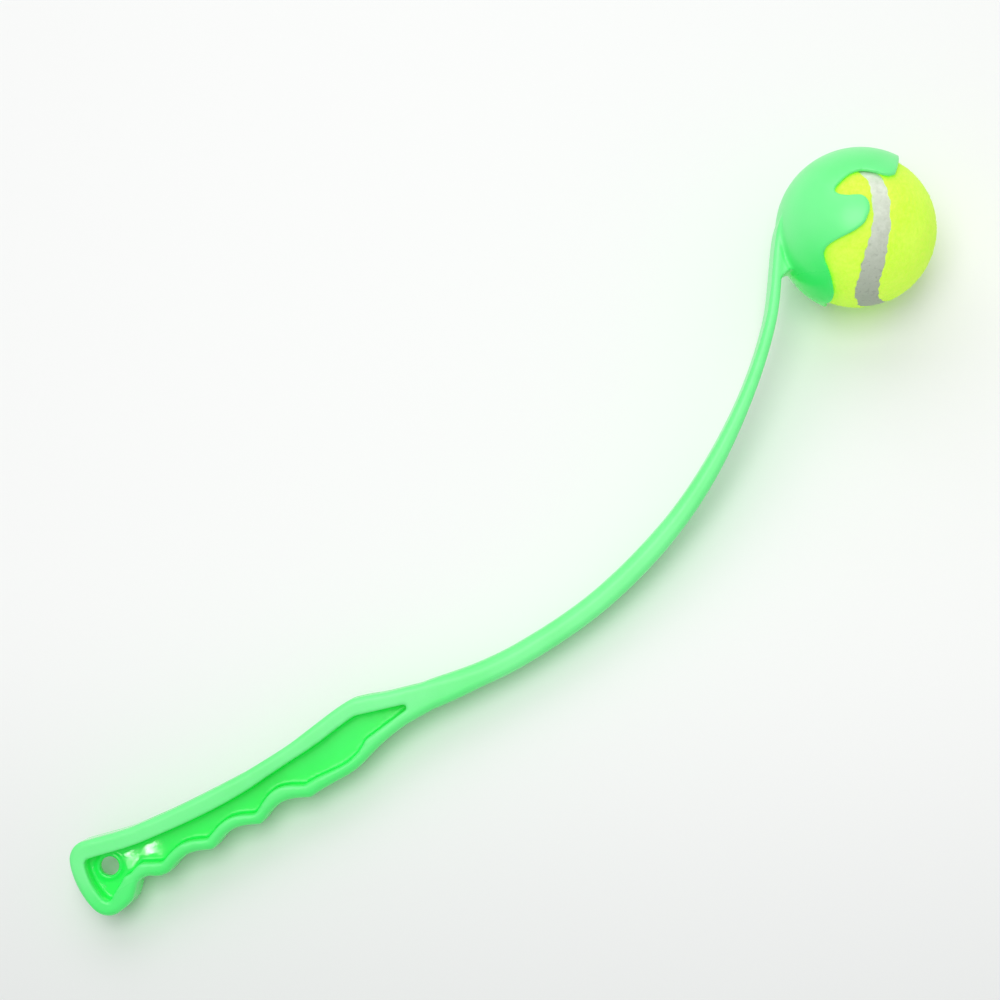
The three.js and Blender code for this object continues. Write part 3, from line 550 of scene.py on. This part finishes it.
def cupRings():
    # A shell round the cup's centre. A point's place is an angle p from the mouth's axis and an angle q round
    # it: r (mouth cos p + top sin p cos q + z sin p sin q). The profile runs from the back of the bowl up the
    # outside, round the lip and down the inside again; a row's q swings from start to around as share^6.
    length = np.append(0, np.cumsum(np.hypot(*np.diff(cup["edge"], axis=0).T)))
    at = np.linspace(0, length[-1], cup["edgePoints"])
    around, rim = [smoothThrough(np.stack([length, column], -1))(at) for column in np.transpose(cup["edge"])]
    bell = np.exp(-((at - length[cup["lobeCorner"]]) / cup["overhangWidth"]) ** 2)
    start = np.maximum.accumulate(around + cup["overhang"] * bell)
    around, start = [np.concatenate([q, 360 - q[-2:0:-1]])[None] for q in (around, start)]
    rim = np.concatenate([rim, rim[-2:0:-1]])[None]
    lip, turn = cup["lipRadius"], np.linspace(0, np.pi / 2, cup["lipSteps"])[:, None]
    share = np.linspace(cup["poleGap"], 1, cup["bowlRows"])[:, None]
    lipAngle = math.degrees(lip / cup["radius"])
    outer = 180 + (rim + lipAngle - 180) * share
    swing = start + (around - start) * share ** cup["swingPower"]
    polar = np.vstack([outer, rim + lipAngle * (1 - np.sin(turn)), rim + lipAngle * (1 - np.cos(turn)),
                       outer[::-1]])
    around = np.vstack([swing, around + 0 * turn, around + 0 * turn, swing[::-1]])
    radius = np.vstack([cup["radius"] + 0 * share, cup["radius"] - lip * (1 - np.cos(turn)),
                        cup["innerRadius"] + lip * (1 - np.sin(turn)), cup["innerRadius"] + 0 * share])
    polar, around = np.radians(polar)[..., None], np.radians(around)[..., None]
    top = np.cross([0, 0, 1.0], mouthWay)
    return cupCentre + radius[..., None] * (mouthWay * np.cos(polar) + top * np.sin(polar) * np.cos(around)
                                            + np.array([0, 0, 1.0]) * np.sin(polar) * np.sin(around))


def sphereRings(centre, radius, steps):
    # A ball: centre + r (sin p cos q, sin p sin q, cos p), with its poles closed by small fans.
    polar = np.linspace(0.01, np.pi - 0.01, steps)[:, None]
    around = np.linspace(0, 2 * np.pi, 2 * steps, endpoint=False)[None]
    return np.asarray(centre) + radius * np.stack([np.sin(polar) * np.cos(around),
                                                   np.sin(polar) * np.sin(around),
                                                   np.cos(polar) + 0 * around], -1)


def holeRings():
    # The hanging hole's bore: a circle r (cos q, sin q), drawn out along z.
    around = np.linspace(0, 2 * np.pi, 96, endpoint=False)
    circle = recess["holeRadius"] * np.stack([np.cos(around), np.sin(around), 0 * around], -1)
    return np.stack([circle + [0, 0, -thrower["width"]], circle + [0, 0, thrower["width"]]])


def bossRings():
    # The raised ring round the hole: a bar's section, rounded above and below by half ellipses
    # (cos a, e sin a), turned about the hole's axis.
    inner, outer = recess["holeRadius"] - recess["bossInHole"], recess["bossRadius"]
    end = recess["bossRounding"]
    straight = recess["web"] / 2 + recess["bossRise"] - end
    a = np.linspace(0, np.pi, 15)
    reach = np.concatenate([(inner + outer) / 2 + (outer - inner) / 2 * np.cos(a),
                            (inner + outer) / 2 - (outer - inner) / 2 * np.cos(a)])
    height = np.concatenate([straight + end * np.sin(a), -straight - end * np.sin(a)])
    around = np.linspace(0, 2 * np.pi, 96, endpoint=False)[:, None]
    return np.stack([reach * np.cos(around), reach * np.sin(around), height + 0 * around], -1)


def makeMoulding():
    body = solidOf("beam", np.concatenate([gripRings(), shaftRings()]))
    tools = [
        ("UNION", solidOf("gusset", gussetRings())),
        ("DIFFERENCE", solidOf("ballSpace", sphereRings(cupCentre, cup["innerRadius"], 96))),
        ("DIFFERENCE", solidOf("recessUp", recessRings(1), "strip")),
        ("DIFFERENCE", solidOf("recessDown", recessRings(-1), "strip")),
        ("UNION", solidOf("cupShell", cupRings())),
        ("UNION", solidOf("boss", bossRings(), "wrap")),
        ("DIFFERENCE", solidOf("hole", holeRings())),
    ]
    for operation, tool in tools:
        cut = body.modifiers.new(operation.lower(), "BOOLEAN")
        cut.operation, cut.object, cut.solver = operation, tool, "MANIFOLD"
    skin = body.modifiers.new("skin", "REMESH")
    skin.mode, skin.voxel_size, skin.use_smooth_shade = "VOXEL", thrower["voxel"] * millimetre, True
    soften = body.modifiers.new("soften", "SMOOTH")
    soften.factor, soften.iterations = thrower["softening"]
    body.modifiers.new("thin", "DECIMATE").ratio = thrower["kept"]
    settle = body.modifiers.new("settle", "SMOOTH")
    settle.factor, settle.iterations = thrower["settling"]
    mesh = bpy.data.meshes.new_from_object(body.evaluated_get(bpy.context.evaluated_depsgraph_get()))
    mesh.name = "thrower_body"
    made = addObject("thrower_body", mesh)
    for obj in [body, *[tool for operation, tool in tools]]:
        bpy.data.objects.remove(obj)
    even = made.modifiers.new("evenShading", "WEIGHTED_NORMAL")
    even.mode, even.weight, even.keep_sharp = "FACE_AREA_WITH_ANGLE", thrower["shadingWeight"], False
    return made


# A noise's scale is its cells in a metre. Masks go from none to full between two distances in millimetres.
plastic = {
    # The pale colours are painted light on faces turned to the lamps, the deep ones painted shade where shade
    # falls.
    "paintedLit": ("#70F78E", "#7CFC9A"), "deep": ("#2AF362", "#36FA6E"),
    # The glow is painted light: an emission that stands in for the fluorescent pigment.
    "paintedGlow": "#38FF60", "paintedGlowStrength": 0.04,
    "flowLines": 28.0, "scuffs": 140.0,  # 36 and 7 mm across
    "onFace": (3.0, 9.5),  # off the throwing plane
    "atBack": (-14.0, 4.0),  # from the hole towards the grip's back
    "fingerSide": 0.35,  # how much of the painted light the finger side gets, next to the back
    "pastGrip": (120.0, 190.0),  # along the grip from the hole
    "offShell": (1.6, 2.6),  # outside the cup
    "cupHigh": (-26.0, 4.0),  # up the picture from the cup's centre, over which the painted shade on its low side fades
    "offWeb": (20.5, 30.0),  # from the hole to where the web's polish ends
    "polished": 0.045, "unrubbed": 0.26, "litAndRubbed": (0.31, 0.33),  # roughness
}


def mouldedPlastic():
    # Polypropylene from a smooth steel mould: even, slightly waxy green with a soft broad gloss. Light enters
    # it a little, an emitted glow is painted light for its fluorescent pigment, and flow lines vary its tone
    # by a few per cent. Faces turned to the lamps are painted paler, as painted light; handling made them
    # duller. The recesses and sides of the grip, its finger side and the cup's low side keep the deep colour
    # as painted shade, and the web round the hole keeps the mould's polish.
    material, where = newMaterial("mouldedPolypropylene")
    fromHole, fromCup = [
        addNode(material, "VectorMath", difference, _0=where, _1=tuple(centre))
        for centre in (holeCentre, onTable(cupCentre))]
    holeReach, cupReach = [addNode(material, "VectorMath", distance, _0=(offset, "Vector"))
                           for offset in (fromHole, fromCup)]
    across, along, backward, cupHeight = [
        addNode(material, "VectorMath", dotProduct, _0=(offset, "Vector"), _1=tuple(axis))
        for offset, axis in ((fromHole, acrossAxis), (fromHole, alongAxis), (fromHole, gripAxes[1]),
                             (fromCup, viewAxes[1]))]
    height = addNode(material, "Math", {"operation": "ABSOLUTE"}, _0=(across, "Value"))
    shellEnds = cup["radius"] + np.array(plastic["offShell"])
    onFace, atBack, pastGrip, inShell, cupLow, polish = [
        addNode(material, "MapRange", smoothStep, Value=(value, "Value"), From_Min=ends[0] * millimetre,
                From_Max=ends[1] * millimetre, To_Min=first, To_Max=last)
        for value, ends, first, last in (
            (height, plastic["onFace"], 0.0, 1.0), (backward, plastic["atBack"], plastic["fingerSide"], 1.0),
            (along, plastic["pastGrip"], 0.0, 1.0), (cupReach, shellEnds, 1.0, 0.0),
            (cupHeight, plastic["cupHigh"], 1.0, 0.0),
            (holeReach, plastic["offWeb"], plastic["polished"], plastic["unrubbed"]))]
    # The cup's low side gets the deep colour as painted shade, taken away from the paler painted light.
    backFace, paintedCupShade = [
        addNode(material, "Math", {"operation": "MULTIPLY"}, _0=(one, "Result"), _1=(other, "Result"))
        for one, other in ((onFace, atBack), (inShell, cupLow))]
    litAndHandled = addNode(material, "Math", {"operation": "MAXIMUM"}, _0=(backFace, "Value"),
                      _1=(pastGrip, "Result"))
    litAndRubbed = addNode(material, "Math", {"operation": "SUBTRACT", "use_clamp": True}, _0=(litAndHandled, "Value"),
                     _1=(paintedCupShade, "Value"))
    flow = addNode(material, "TexNoise", Vector=where, Scale=plastic["flowLines"], Detail=3.0, Roughness=0.5,
                   Distortion=0.6)
    tone = addNode(material, "MapRange", Value=(flow, "Fac"), From_Min=0.3, From_Max=0.7)
    paintedLit, deep = [
        addNode(material, "Mix", colourMix, Factor=(tone, "Result"), _6=linear(low), _7=linear(high))
        for low, high in (plastic["paintedLit"], plastic["deep"])]
    # This mix is painted light and shade: paler on faces turned to the lamps, deeper in the recesses and on
    # the finger side.
    colour = addNode(material, "Mix", colourMix, Factor=(litAndRubbed, "Value"), _6=(deep, 2), _7=(paintedLit, 2))
    scuff = addNode(material, "TexNoise", Vector=where, Scale=plastic["scuffs"], Detail=6.0, Roughness=0.65)
    dull = addNode(material, "MapRange", Value=(scuff, "Fac"), From_Min=0.35, From_Max=0.7,
                   To_Min=plastic["litAndRubbed"][0], To_Max=plastic["litAndRubbed"][1])
    gloss = addNode(material, "MapRange", Value=(litAndRubbed, "Value"), From_Max=0.5, To_Min=(polish, "Result"),
                    To_Max=(dull, "Result"))
    shader = addNode(material, "BsdfPrincipled", {"subsurface_method": "RANDOM_WALK"}, Base_Color=(colour, 2),
                     Roughness=(gloss, "Result"), IOR=1.49, Subsurface_Weight=0.12,
                     Subsurface_Radius=(0.6, 1.6, 0.8), Subsurface_Scale=0.002,
                     Emission_Color=linear(plastic["paintedGlow"]), Emission_Strength=plastic["paintedGlowStrength"])
    return finishMaterial(material, shader)


moulding = makeMoulding()
dress(moulding, mouldedPlastic())
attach(moulding, "thrower")
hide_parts("thrower_moulding")
print("moulding made,", len(moulding.data.loops) - 2 * len(moulding.data.polygons), "triangles")

# The ball: two felt covers, their nap and the seam strip, in the ball's own frame
ball = {
    "radius": 32.8, "turns": (-67.3, 32.2, -3.7),
    "lobe": 0.28,  # how far the seam swings from a great circle
    "seamHalfWidth": 3.6, "seamSwell": 1.2,  # the band is wider on one side of the ball than on the other
    "seamRecess": 0.5, "seamCrown": 0.12, "seamUnderFelt": 0.8,
    "seamRough": 0.05, "seamWaves": (0.9, 3.0, 50, 77),  # lengths, number and seed
    "felt": 2.9, "feltSink": 0.15, "feltGap": 0.15, "ragged": 0.7,
    "edgeRounding": 1.3, "edgeDrop": 0.7, "edgeCrowding": 0.35,
    "nap": 0.07, "napWaves": ((1.2, 2.4, 60), (0.7, 1.1, 60)),
    "arcs": 340, "arcPoints": 140, "seamRows": 900,
}
tx, ty, tz = np.radians(ball["turns"])
ballAxes = turnAbout([tx, 0, 0]) @ turnAbout([0, ty, 0]) @ turnAbout([0, 0, tz])
ballMiddle = cupCentre - thrower["ballDeeper"] * mouthWay
narrowSide = ballAxes.T @ gripAxes @ viewAxes[1]  # the band is narrowest at the top of the picture


def inCup(points):  # the ball's own frame to the grip's frame
    return ballMiddle + np.asarray(points) @ ballAxes.T


def seamPoint(t):
    # The seam on a unit sphere: x = a cos t + b cos 3t, y = a sin t - b sin 3t, z = 2 sqrt(ab) sin 2t, where
    # a + b = 1.
    b = ball["lobe"]
    a = 1 - b
    return np.stack([a * np.cos(t) + b * np.cos(3 * t), a * np.sin(t) - b * np.sin(3 * t),
                     2 * math.sqrt(a * b) * np.sin(2 * t)], -1)


def besideSeam(t, sideways):
    # A direction beside the seam, at a distance d over the ball: p cos(d/r) + (ahead x p) sin(d/r).
    ahead = unit(seamPoint(t + 0.001) - seamPoint(t - 0.001))
    point = unit(seamPoint(t))
    angle = (sideways / ball["radius"])[..., None]
    return point * np.cos(angle) + np.cross(ahead, point) * np.sin(angle)


def halfWidth(t):
    # Half the band's width: w - s (p . n), where n is the narrow side and s the swell.
    return ball["seamHalfWidth"] - ball["seamSwell"] * (unit(seamPoint(t)) @ narrowSide)


def waves(directions, shortest, longest, count, seed):
    # Fine unevenness from -1 to 1: the sum of many plane waves with random directions, lengths and phases.
    draw = np.random.default_rng(seed)
    vectors = unit(draw.normal(size=(count, 3))) * (2 * np.pi * ball["radius"]
                                                    / draw.uniform(shortest, longest, (count, 1)))
    phase = draw.uniform(0, 2 * np.pi, count)
    return np.sin(directions @ vectors.T + phase).sum(-1) / math.sqrt(count)


def raggedEdge(t, seed):
    # How far a felt edge strays from its cut line: a sum of sines of 20 random whole rates n and phases, each
    # with a height of 1/sqrt(n).
    draw = np.random.default_rng(seed)
    rate = draw.integers(5, 100, 20)
    phase = draw.uniform(0, 2 * np.pi, 20)
    return ball["ragged"] * (np.sin(t[:, None] * rate + phase) / np.sqrt(rate)).sum(-1)


def panelRings(turn, seed):
    # A felt panel: great arcs run from one of its edges to the other. Each arc's ring goes over the top, with
    # rounded uneven edges, and back underneath. Its height over the ball's middle is
    # r - drop (1 - sqrt(1 - u^2)) + nap, where u runs from 0 inside the edge's rounding to 1 at the edge.
    t = np.pi / 4 + np.linspace(0, np.pi, ball["arcs"])
    fade = np.sin(np.linspace(0, np.pi, len(t))) ** 0.3
    leftCut, rightCut = [halfWidth(turn * at) + ball["feltGap"] for at in (t, np.pi / 2 - t)]
    left = besideSeam(t, leftCut + raggedEdge(t, seed) * fade)
    right = besideSeam(t, rightCut + raggedEdge(t, seed + 1) * fade)[:, [1, 0, 2]]
    arc = np.maximum(np.arccos(np.clip((left * right).sum(-1), -1, 1)), 1e-4)[:, None, None]
    even, crowding = np.linspace(0, 1, ball["arcPoints"]), ball["edgeCrowding"]
    share = (crowding * (0.5 - 0.5 * np.cos(np.pi * even)) + (1 - crowding) * even)[None, :, None]
    over = unit(left[:, None] * np.sin((1 - share) * arc) + right[:, None] * np.sin(share * arc))
    fromEdge = (np.minimum(share, 1 - share) * arc)[..., 0] * ball["radius"]
    inside = np.clip(1 - fromEdge / ball["edgeRounding"], 0, 1)
    nap = sum(waves(over.reshape(-1, 3), *wave, seed + 2 + number)
              for number, wave in enumerate(ball["napWaves"])).reshape(inside.shape)
    height = (ball["radius"] - ball["edgeDrop"] * (1 - np.sqrt(1 - inside ** 2)) + ball["nap"] * nap
              - ball["feltSink"])
    under = np.full_like(height, ball["radius"] - ball["felt"])
    return np.concatenate([over * height[..., None], (over * under[..., None])[:, ::-1]], axis=1)


def seamRings():
    # The rubber strip: a low crowned section carried round the seam and under the felt's edges. Its height
    # over the ball's middle is r - recess + crown (1 - a^2), where a runs from -1 to 1 across it.
    t = np.linspace(0, 2 * np.pi, ball["seamRows"], endpoint=False)
    across = np.linspace(-1, 1, 21)
    low = ball["radius"] - ball["felt"]
    share = np.concatenate([across, across[::-1]])
    side = (halfWidth(t) + ball["seamUnderFelt"])[:, None] * share
    directions = besideSeam(np.repeat(t[:, None], len(share), 1), side)
    rough = ball["seamRough"] * waves(directions.reshape(-1, 3), *ball["seamWaves"]).reshape(len(t), -1)
    crown = ball["radius"] - ball["seamRecess"] + ball["seamCrown"] * (1 - across ** 2)
    height = np.concatenate([crown, np.full(len(across), low)])[None] + rough
    return directions * height[..., None]


fibre = {
    "count": 5200, "steps": 5, "sides": 3,
    "length": 1.5, "lengths": (0.5, 1.2), "radius": 0.035, "taper": 0.8,
    "rises": (0.12, 0.5), "lift": 2.2, "curl": 0.45,
    "rootDepth": 0.35, "fromBand": 0.35, "panelInset": 0.4,
}


def makeNap(name, turnOver, seed):
    # Short curved fibres that stand out of the nap: thin three-sided spikes, rooted at random on the felt. A
    # spike's middle runs root + length (s lean + rise sin(lift s) root + curl s^2 sideways), s from 0 to 1.
    draw = np.random.default_rng(seed)
    root = unit(draw.normal(size=(fibre["count"] * 4, 3)))
    seamTurn = np.linspace(0, 2 * np.pi, 720) * (-1 if turnOver else 1)
    near = np.clip(root @ unit(seamPoint(np.abs(seamTurn))).T, -1, 1)
    t = np.pi / 4 + np.linspace(0, np.pi, 61)
    left = besideSeam(t, np.full(len(t), ball["seamHalfWidth"] + fibre["panelInset"]))
    middle = unit(left + left[:, [1, 0, 2]])
    band = halfWidth(seamTurn)[near.argmax(-1)]
    clear = np.arccos(near.max(-1)) * ball["radius"] > band + fibre["fromBand"]
    mine = (root @ middle.T).max(-1) > (root @ (middle * [1, -1, -1]).T).max(-1)
    root = root[clear & mine][:fibre["count"]]
    count, steps, sides = len(root), fibre["steps"], fibre["sides"]
    lean = unit(np.cross(root, unit(draw.normal(size=(count, 3)))))
    sideways = np.cross(root, lean) * draw.uniform(-1, 1, (count, 1))
    length = fibre["length"] * draw.uniform(*fibre["lengths"], (count, 1))
    rise = draw.uniform(*fibre["rises"], (count, 1))
    s = np.linspace(0, 1, steps)[:, None, None]
    path = (root * (ball["radius"] - fibre["rootDepth"]) + length * s * lean
            + length * rise * np.sin(s * fibre["lift"]) * root + fibre["curl"] * length * s ** 2 * sideways)
    thick = fibre["radius"] * (1 - fibre["taper"] * s)
    ring = [np.cos(a) * np.cross(root, lean) + np.sin(a) * root for a in np.arange(sides) * 2 * np.pi / sides]
    points = np.stack([path + thick * direction for direction in ring], 2)  # (step, fibre, corner, 3)
    points = points.transpose(1, 0, 2, 3).reshape(-1, 3)
    if turnOver:
        points = points * [1, -1, -1]
    first = np.arange(count)[:, None] * steps * sides  # each fibre's first point
    corner = np.arange(sides)
    faces = (first[..., None] + gridFaces(steps, sides)).reshape(-1, 4).tolist()
    ends = np.vstack([first + (steps - 1) * sides + corner, first + corner[::-1]]).tolist()
    mesh = bpy.data.meshes.new(name)
    mesh.from_pydata(onTable(inCup(points)).tolist(), [], faces + ends)
    return addObject(name, mesh)


felt = {
    "cloth": ("#D8F93E", "#EAFF5A"), "strand": ("#E2FF54", "#F2FF84"),
    # The glow is painted light, an emission that stands in for the fluorescent dye and lifts the felt's
    # shade.
    "sheenTint": "#F4FFB0", "paintedGlow": "#82FF28", "paintedGlowStrength": 0.22,
    "tufts": 520.0, "patches": 90.0, "strands": 1500.0,  # 2, 11 and 0.7 mm across
}


def feltMaterial(name, low, high):
    # Tennis felt: wool and nylon needled and brushed to a nap, dyed fluorescent yellow. The eye gets soft
    # edges, a dusty sheen at grazing angles and mottling at the size of the tufts. A faint emitted glow is
    # painted light that stands in for the fluorescent dye and lifts its shade.
    material, where = newMaterial(name)
    tuft = addNode(material, "TexNoise", Vector=where, Scale=felt["tufts"], Detail=4.0, Roughness=0.7)
    patch = addNode(material, "TexNoise", Vector=where, Scale=felt["patches"], Detail=2.0)
    both = addNode(material, "Math", {"operation": "MULTIPLY_ADD"}, _0=(patch, "Fac"), _1=0.5,
                   _2=(tuft, "Fac"))
    tone = addNode(material, "MapRange", Value=(both, "Value"), From_Min=0.55, From_Max=0.95)
    colour = addNode(material, "Mix", colourMix, Factor=(tone, "Result"), _6=linear(low), _7=linear(high))
    strands = addNode(material, "TexNoise", Vector=where, Scale=felt["strands"], Detail=3.0, Roughness=0.8,
                      Distortion=1.5)
    bump = addNode(material, "Bump", Strength=0.3, Distance=0.0003, Height=(strands, "Fac"))
    shader = addNode(material, "BsdfPrincipled", Base_Color=(colour, 2), Roughness=0.95,
                     Normal=(bump, "Normal"), Sheen_Weight=0.3, Sheen_Roughness=0.5,
                     Sheen_Tint=linear(felt["sheenTint"]), Subsurface_Weight=0.1,
                     Subsurface_Radius=(1.0, 1.0, 0.4), Subsurface_Scale=0.001,
                     Emission_Color=linear(felt["paintedGlow"]), Emission_Strength=felt["paintedGlowStrength"])
    return finishMaterial(material, shader)


rubber = {
    # The grime colour is painted shade towards the bottom of the picture, with specks of dirt in it.
    "seam": ("#DAE3D0", "#EEF6E5"), "seamRoughness": 0.85, "shadeAndGrime": "#AAB3A3",
    "core": ("#343735", "#434644"), "coreRoughness": 0.8,
    "bloom": 260.0, "specks": 620.0, "pits": 1100.0,  # 4, 1.6 and 0.9 mm across
    "paintedShadeFrom": 12.0, "paintedShadeTo": -30.0,  # up the picture from the ball's centre, in mm
}


def rubberMaterial(name, colours, roughness, shadeAndGrimeColour=None):
    # Vulcanised rubber: matt, with a talc bloom that mottles its tone and a fine pitted skin. One given a
    # darker colour goes over to it towards the bottom of the picture, as painted shade, with specks of dirt
    # in it.
    material, where = newMaterial(name)
    bloom = addNode(material, "TexNoise", Vector=where, Scale=rubber["bloom"], Detail=5.0, Roughness=0.65)
    tone = addNode(material, "MapRange", Value=(bloom, "Fac"), From_Min=0.35, From_Max=0.65)
    colour = addNode(material, "Mix", colourMix, Factor=(tone, "Result"), _6=linear(colours[0]),
                     _7=linear(colours[1]))
    # Painted shade: darker towards the bottom of the picture, with specks of dirt in it.
    if shadeAndGrimeColour:
        fromMiddle = addNode(material, "VectorMath", difference, _0=where, _1=tuple(ballCentre))
        height = addNode(material, "VectorMath", dotProduct, _0=(fromMiddle, "Vector"), _1=tuple(viewAxes[1]))
        side = addNode(material, "MapRange", Value=(height, "Value"),
                       From_Min=rubber["paintedShadeFrom"] * millimetre, From_Max=rubber["paintedShadeTo"] * millimetre,
                       To_Min=0.0, To_Max=0.85)
        speck = addNode(material, "TexNoise", Vector=where, Scale=rubber["specks"], Detail=3.0)
        spots = addNode(material, "MapRange", Value=(speck, "Fac"), From_Min=0.56, From_Max=0.7, To_Min=0.0,
                        To_Max=0.5)
        shadeAndGrime = addNode(material, "Math", {"operation": "MULTIPLY_ADD", "use_clamp": True},
                        _0=(spots, "Result"), _1=(side, "Result"), _2=(side, "Result"))
        colour = addNode(material, "Mix", colourMix, Factor=(shadeAndGrime, "Value"), _6=(colour, 2),
                         _7=linear(shadeAndGrimeColour))
    pits = addNode(material, "TexNoise", Vector=where, Scale=rubber["pits"], Detail=3.0)
    bump = addNode(material, "Bump", Strength=0.3, Distance=0.0003, Height=(pits, "Fac"))
    shader = addNode(material, "BsdfPrincipled", Base_Color=(colour, 2), Roughness=roughness,
                     Normal=(bump, "Normal"))
    return finishMaterial(material, shader)


feltCloth = feltMaterial("needledFelt", *felt["cloth"])
feltStrand = feltMaterial("napFibre", *felt["strand"])
seamRubber = rubberMaterial("seamRubber", rubber["seam"], rubber["seamRoughness"], rubber["shadeAndGrime"])
coreRubber = rubberMaterial("coreRubber", rubber["core"], rubber["coreRoughness"])

for number, turnOver in ((1, False), (2, True)):
    rings = panelRings(-1 if turnOver else 1, 100 * number)
    if turnOver:
        rings = rings * [1, -1, -1]
    cover = solidOf(f"felt_cover_{number}", inCup(rings))
    dress(cover, feltCloth)
    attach(cover, "ball")
    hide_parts(f"felt_panel_{number}")
    nap = makeNap(f"felt_nap_{number}", turnOver, 7 + number)
    dress(nap, feltStrand)
    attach(nap, "ball")

strip = solidOf("seam_strip", inCup(seamRings()), "wrap")
dress(strip, seamRubber)
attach(strip, "ball")
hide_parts("seam_band")

for number in (1, 2):
    for slot in frame["nodes"][f"rubber_core_half_{number}"].material_slots:
        slot.material = coreRubber
print("ball made")
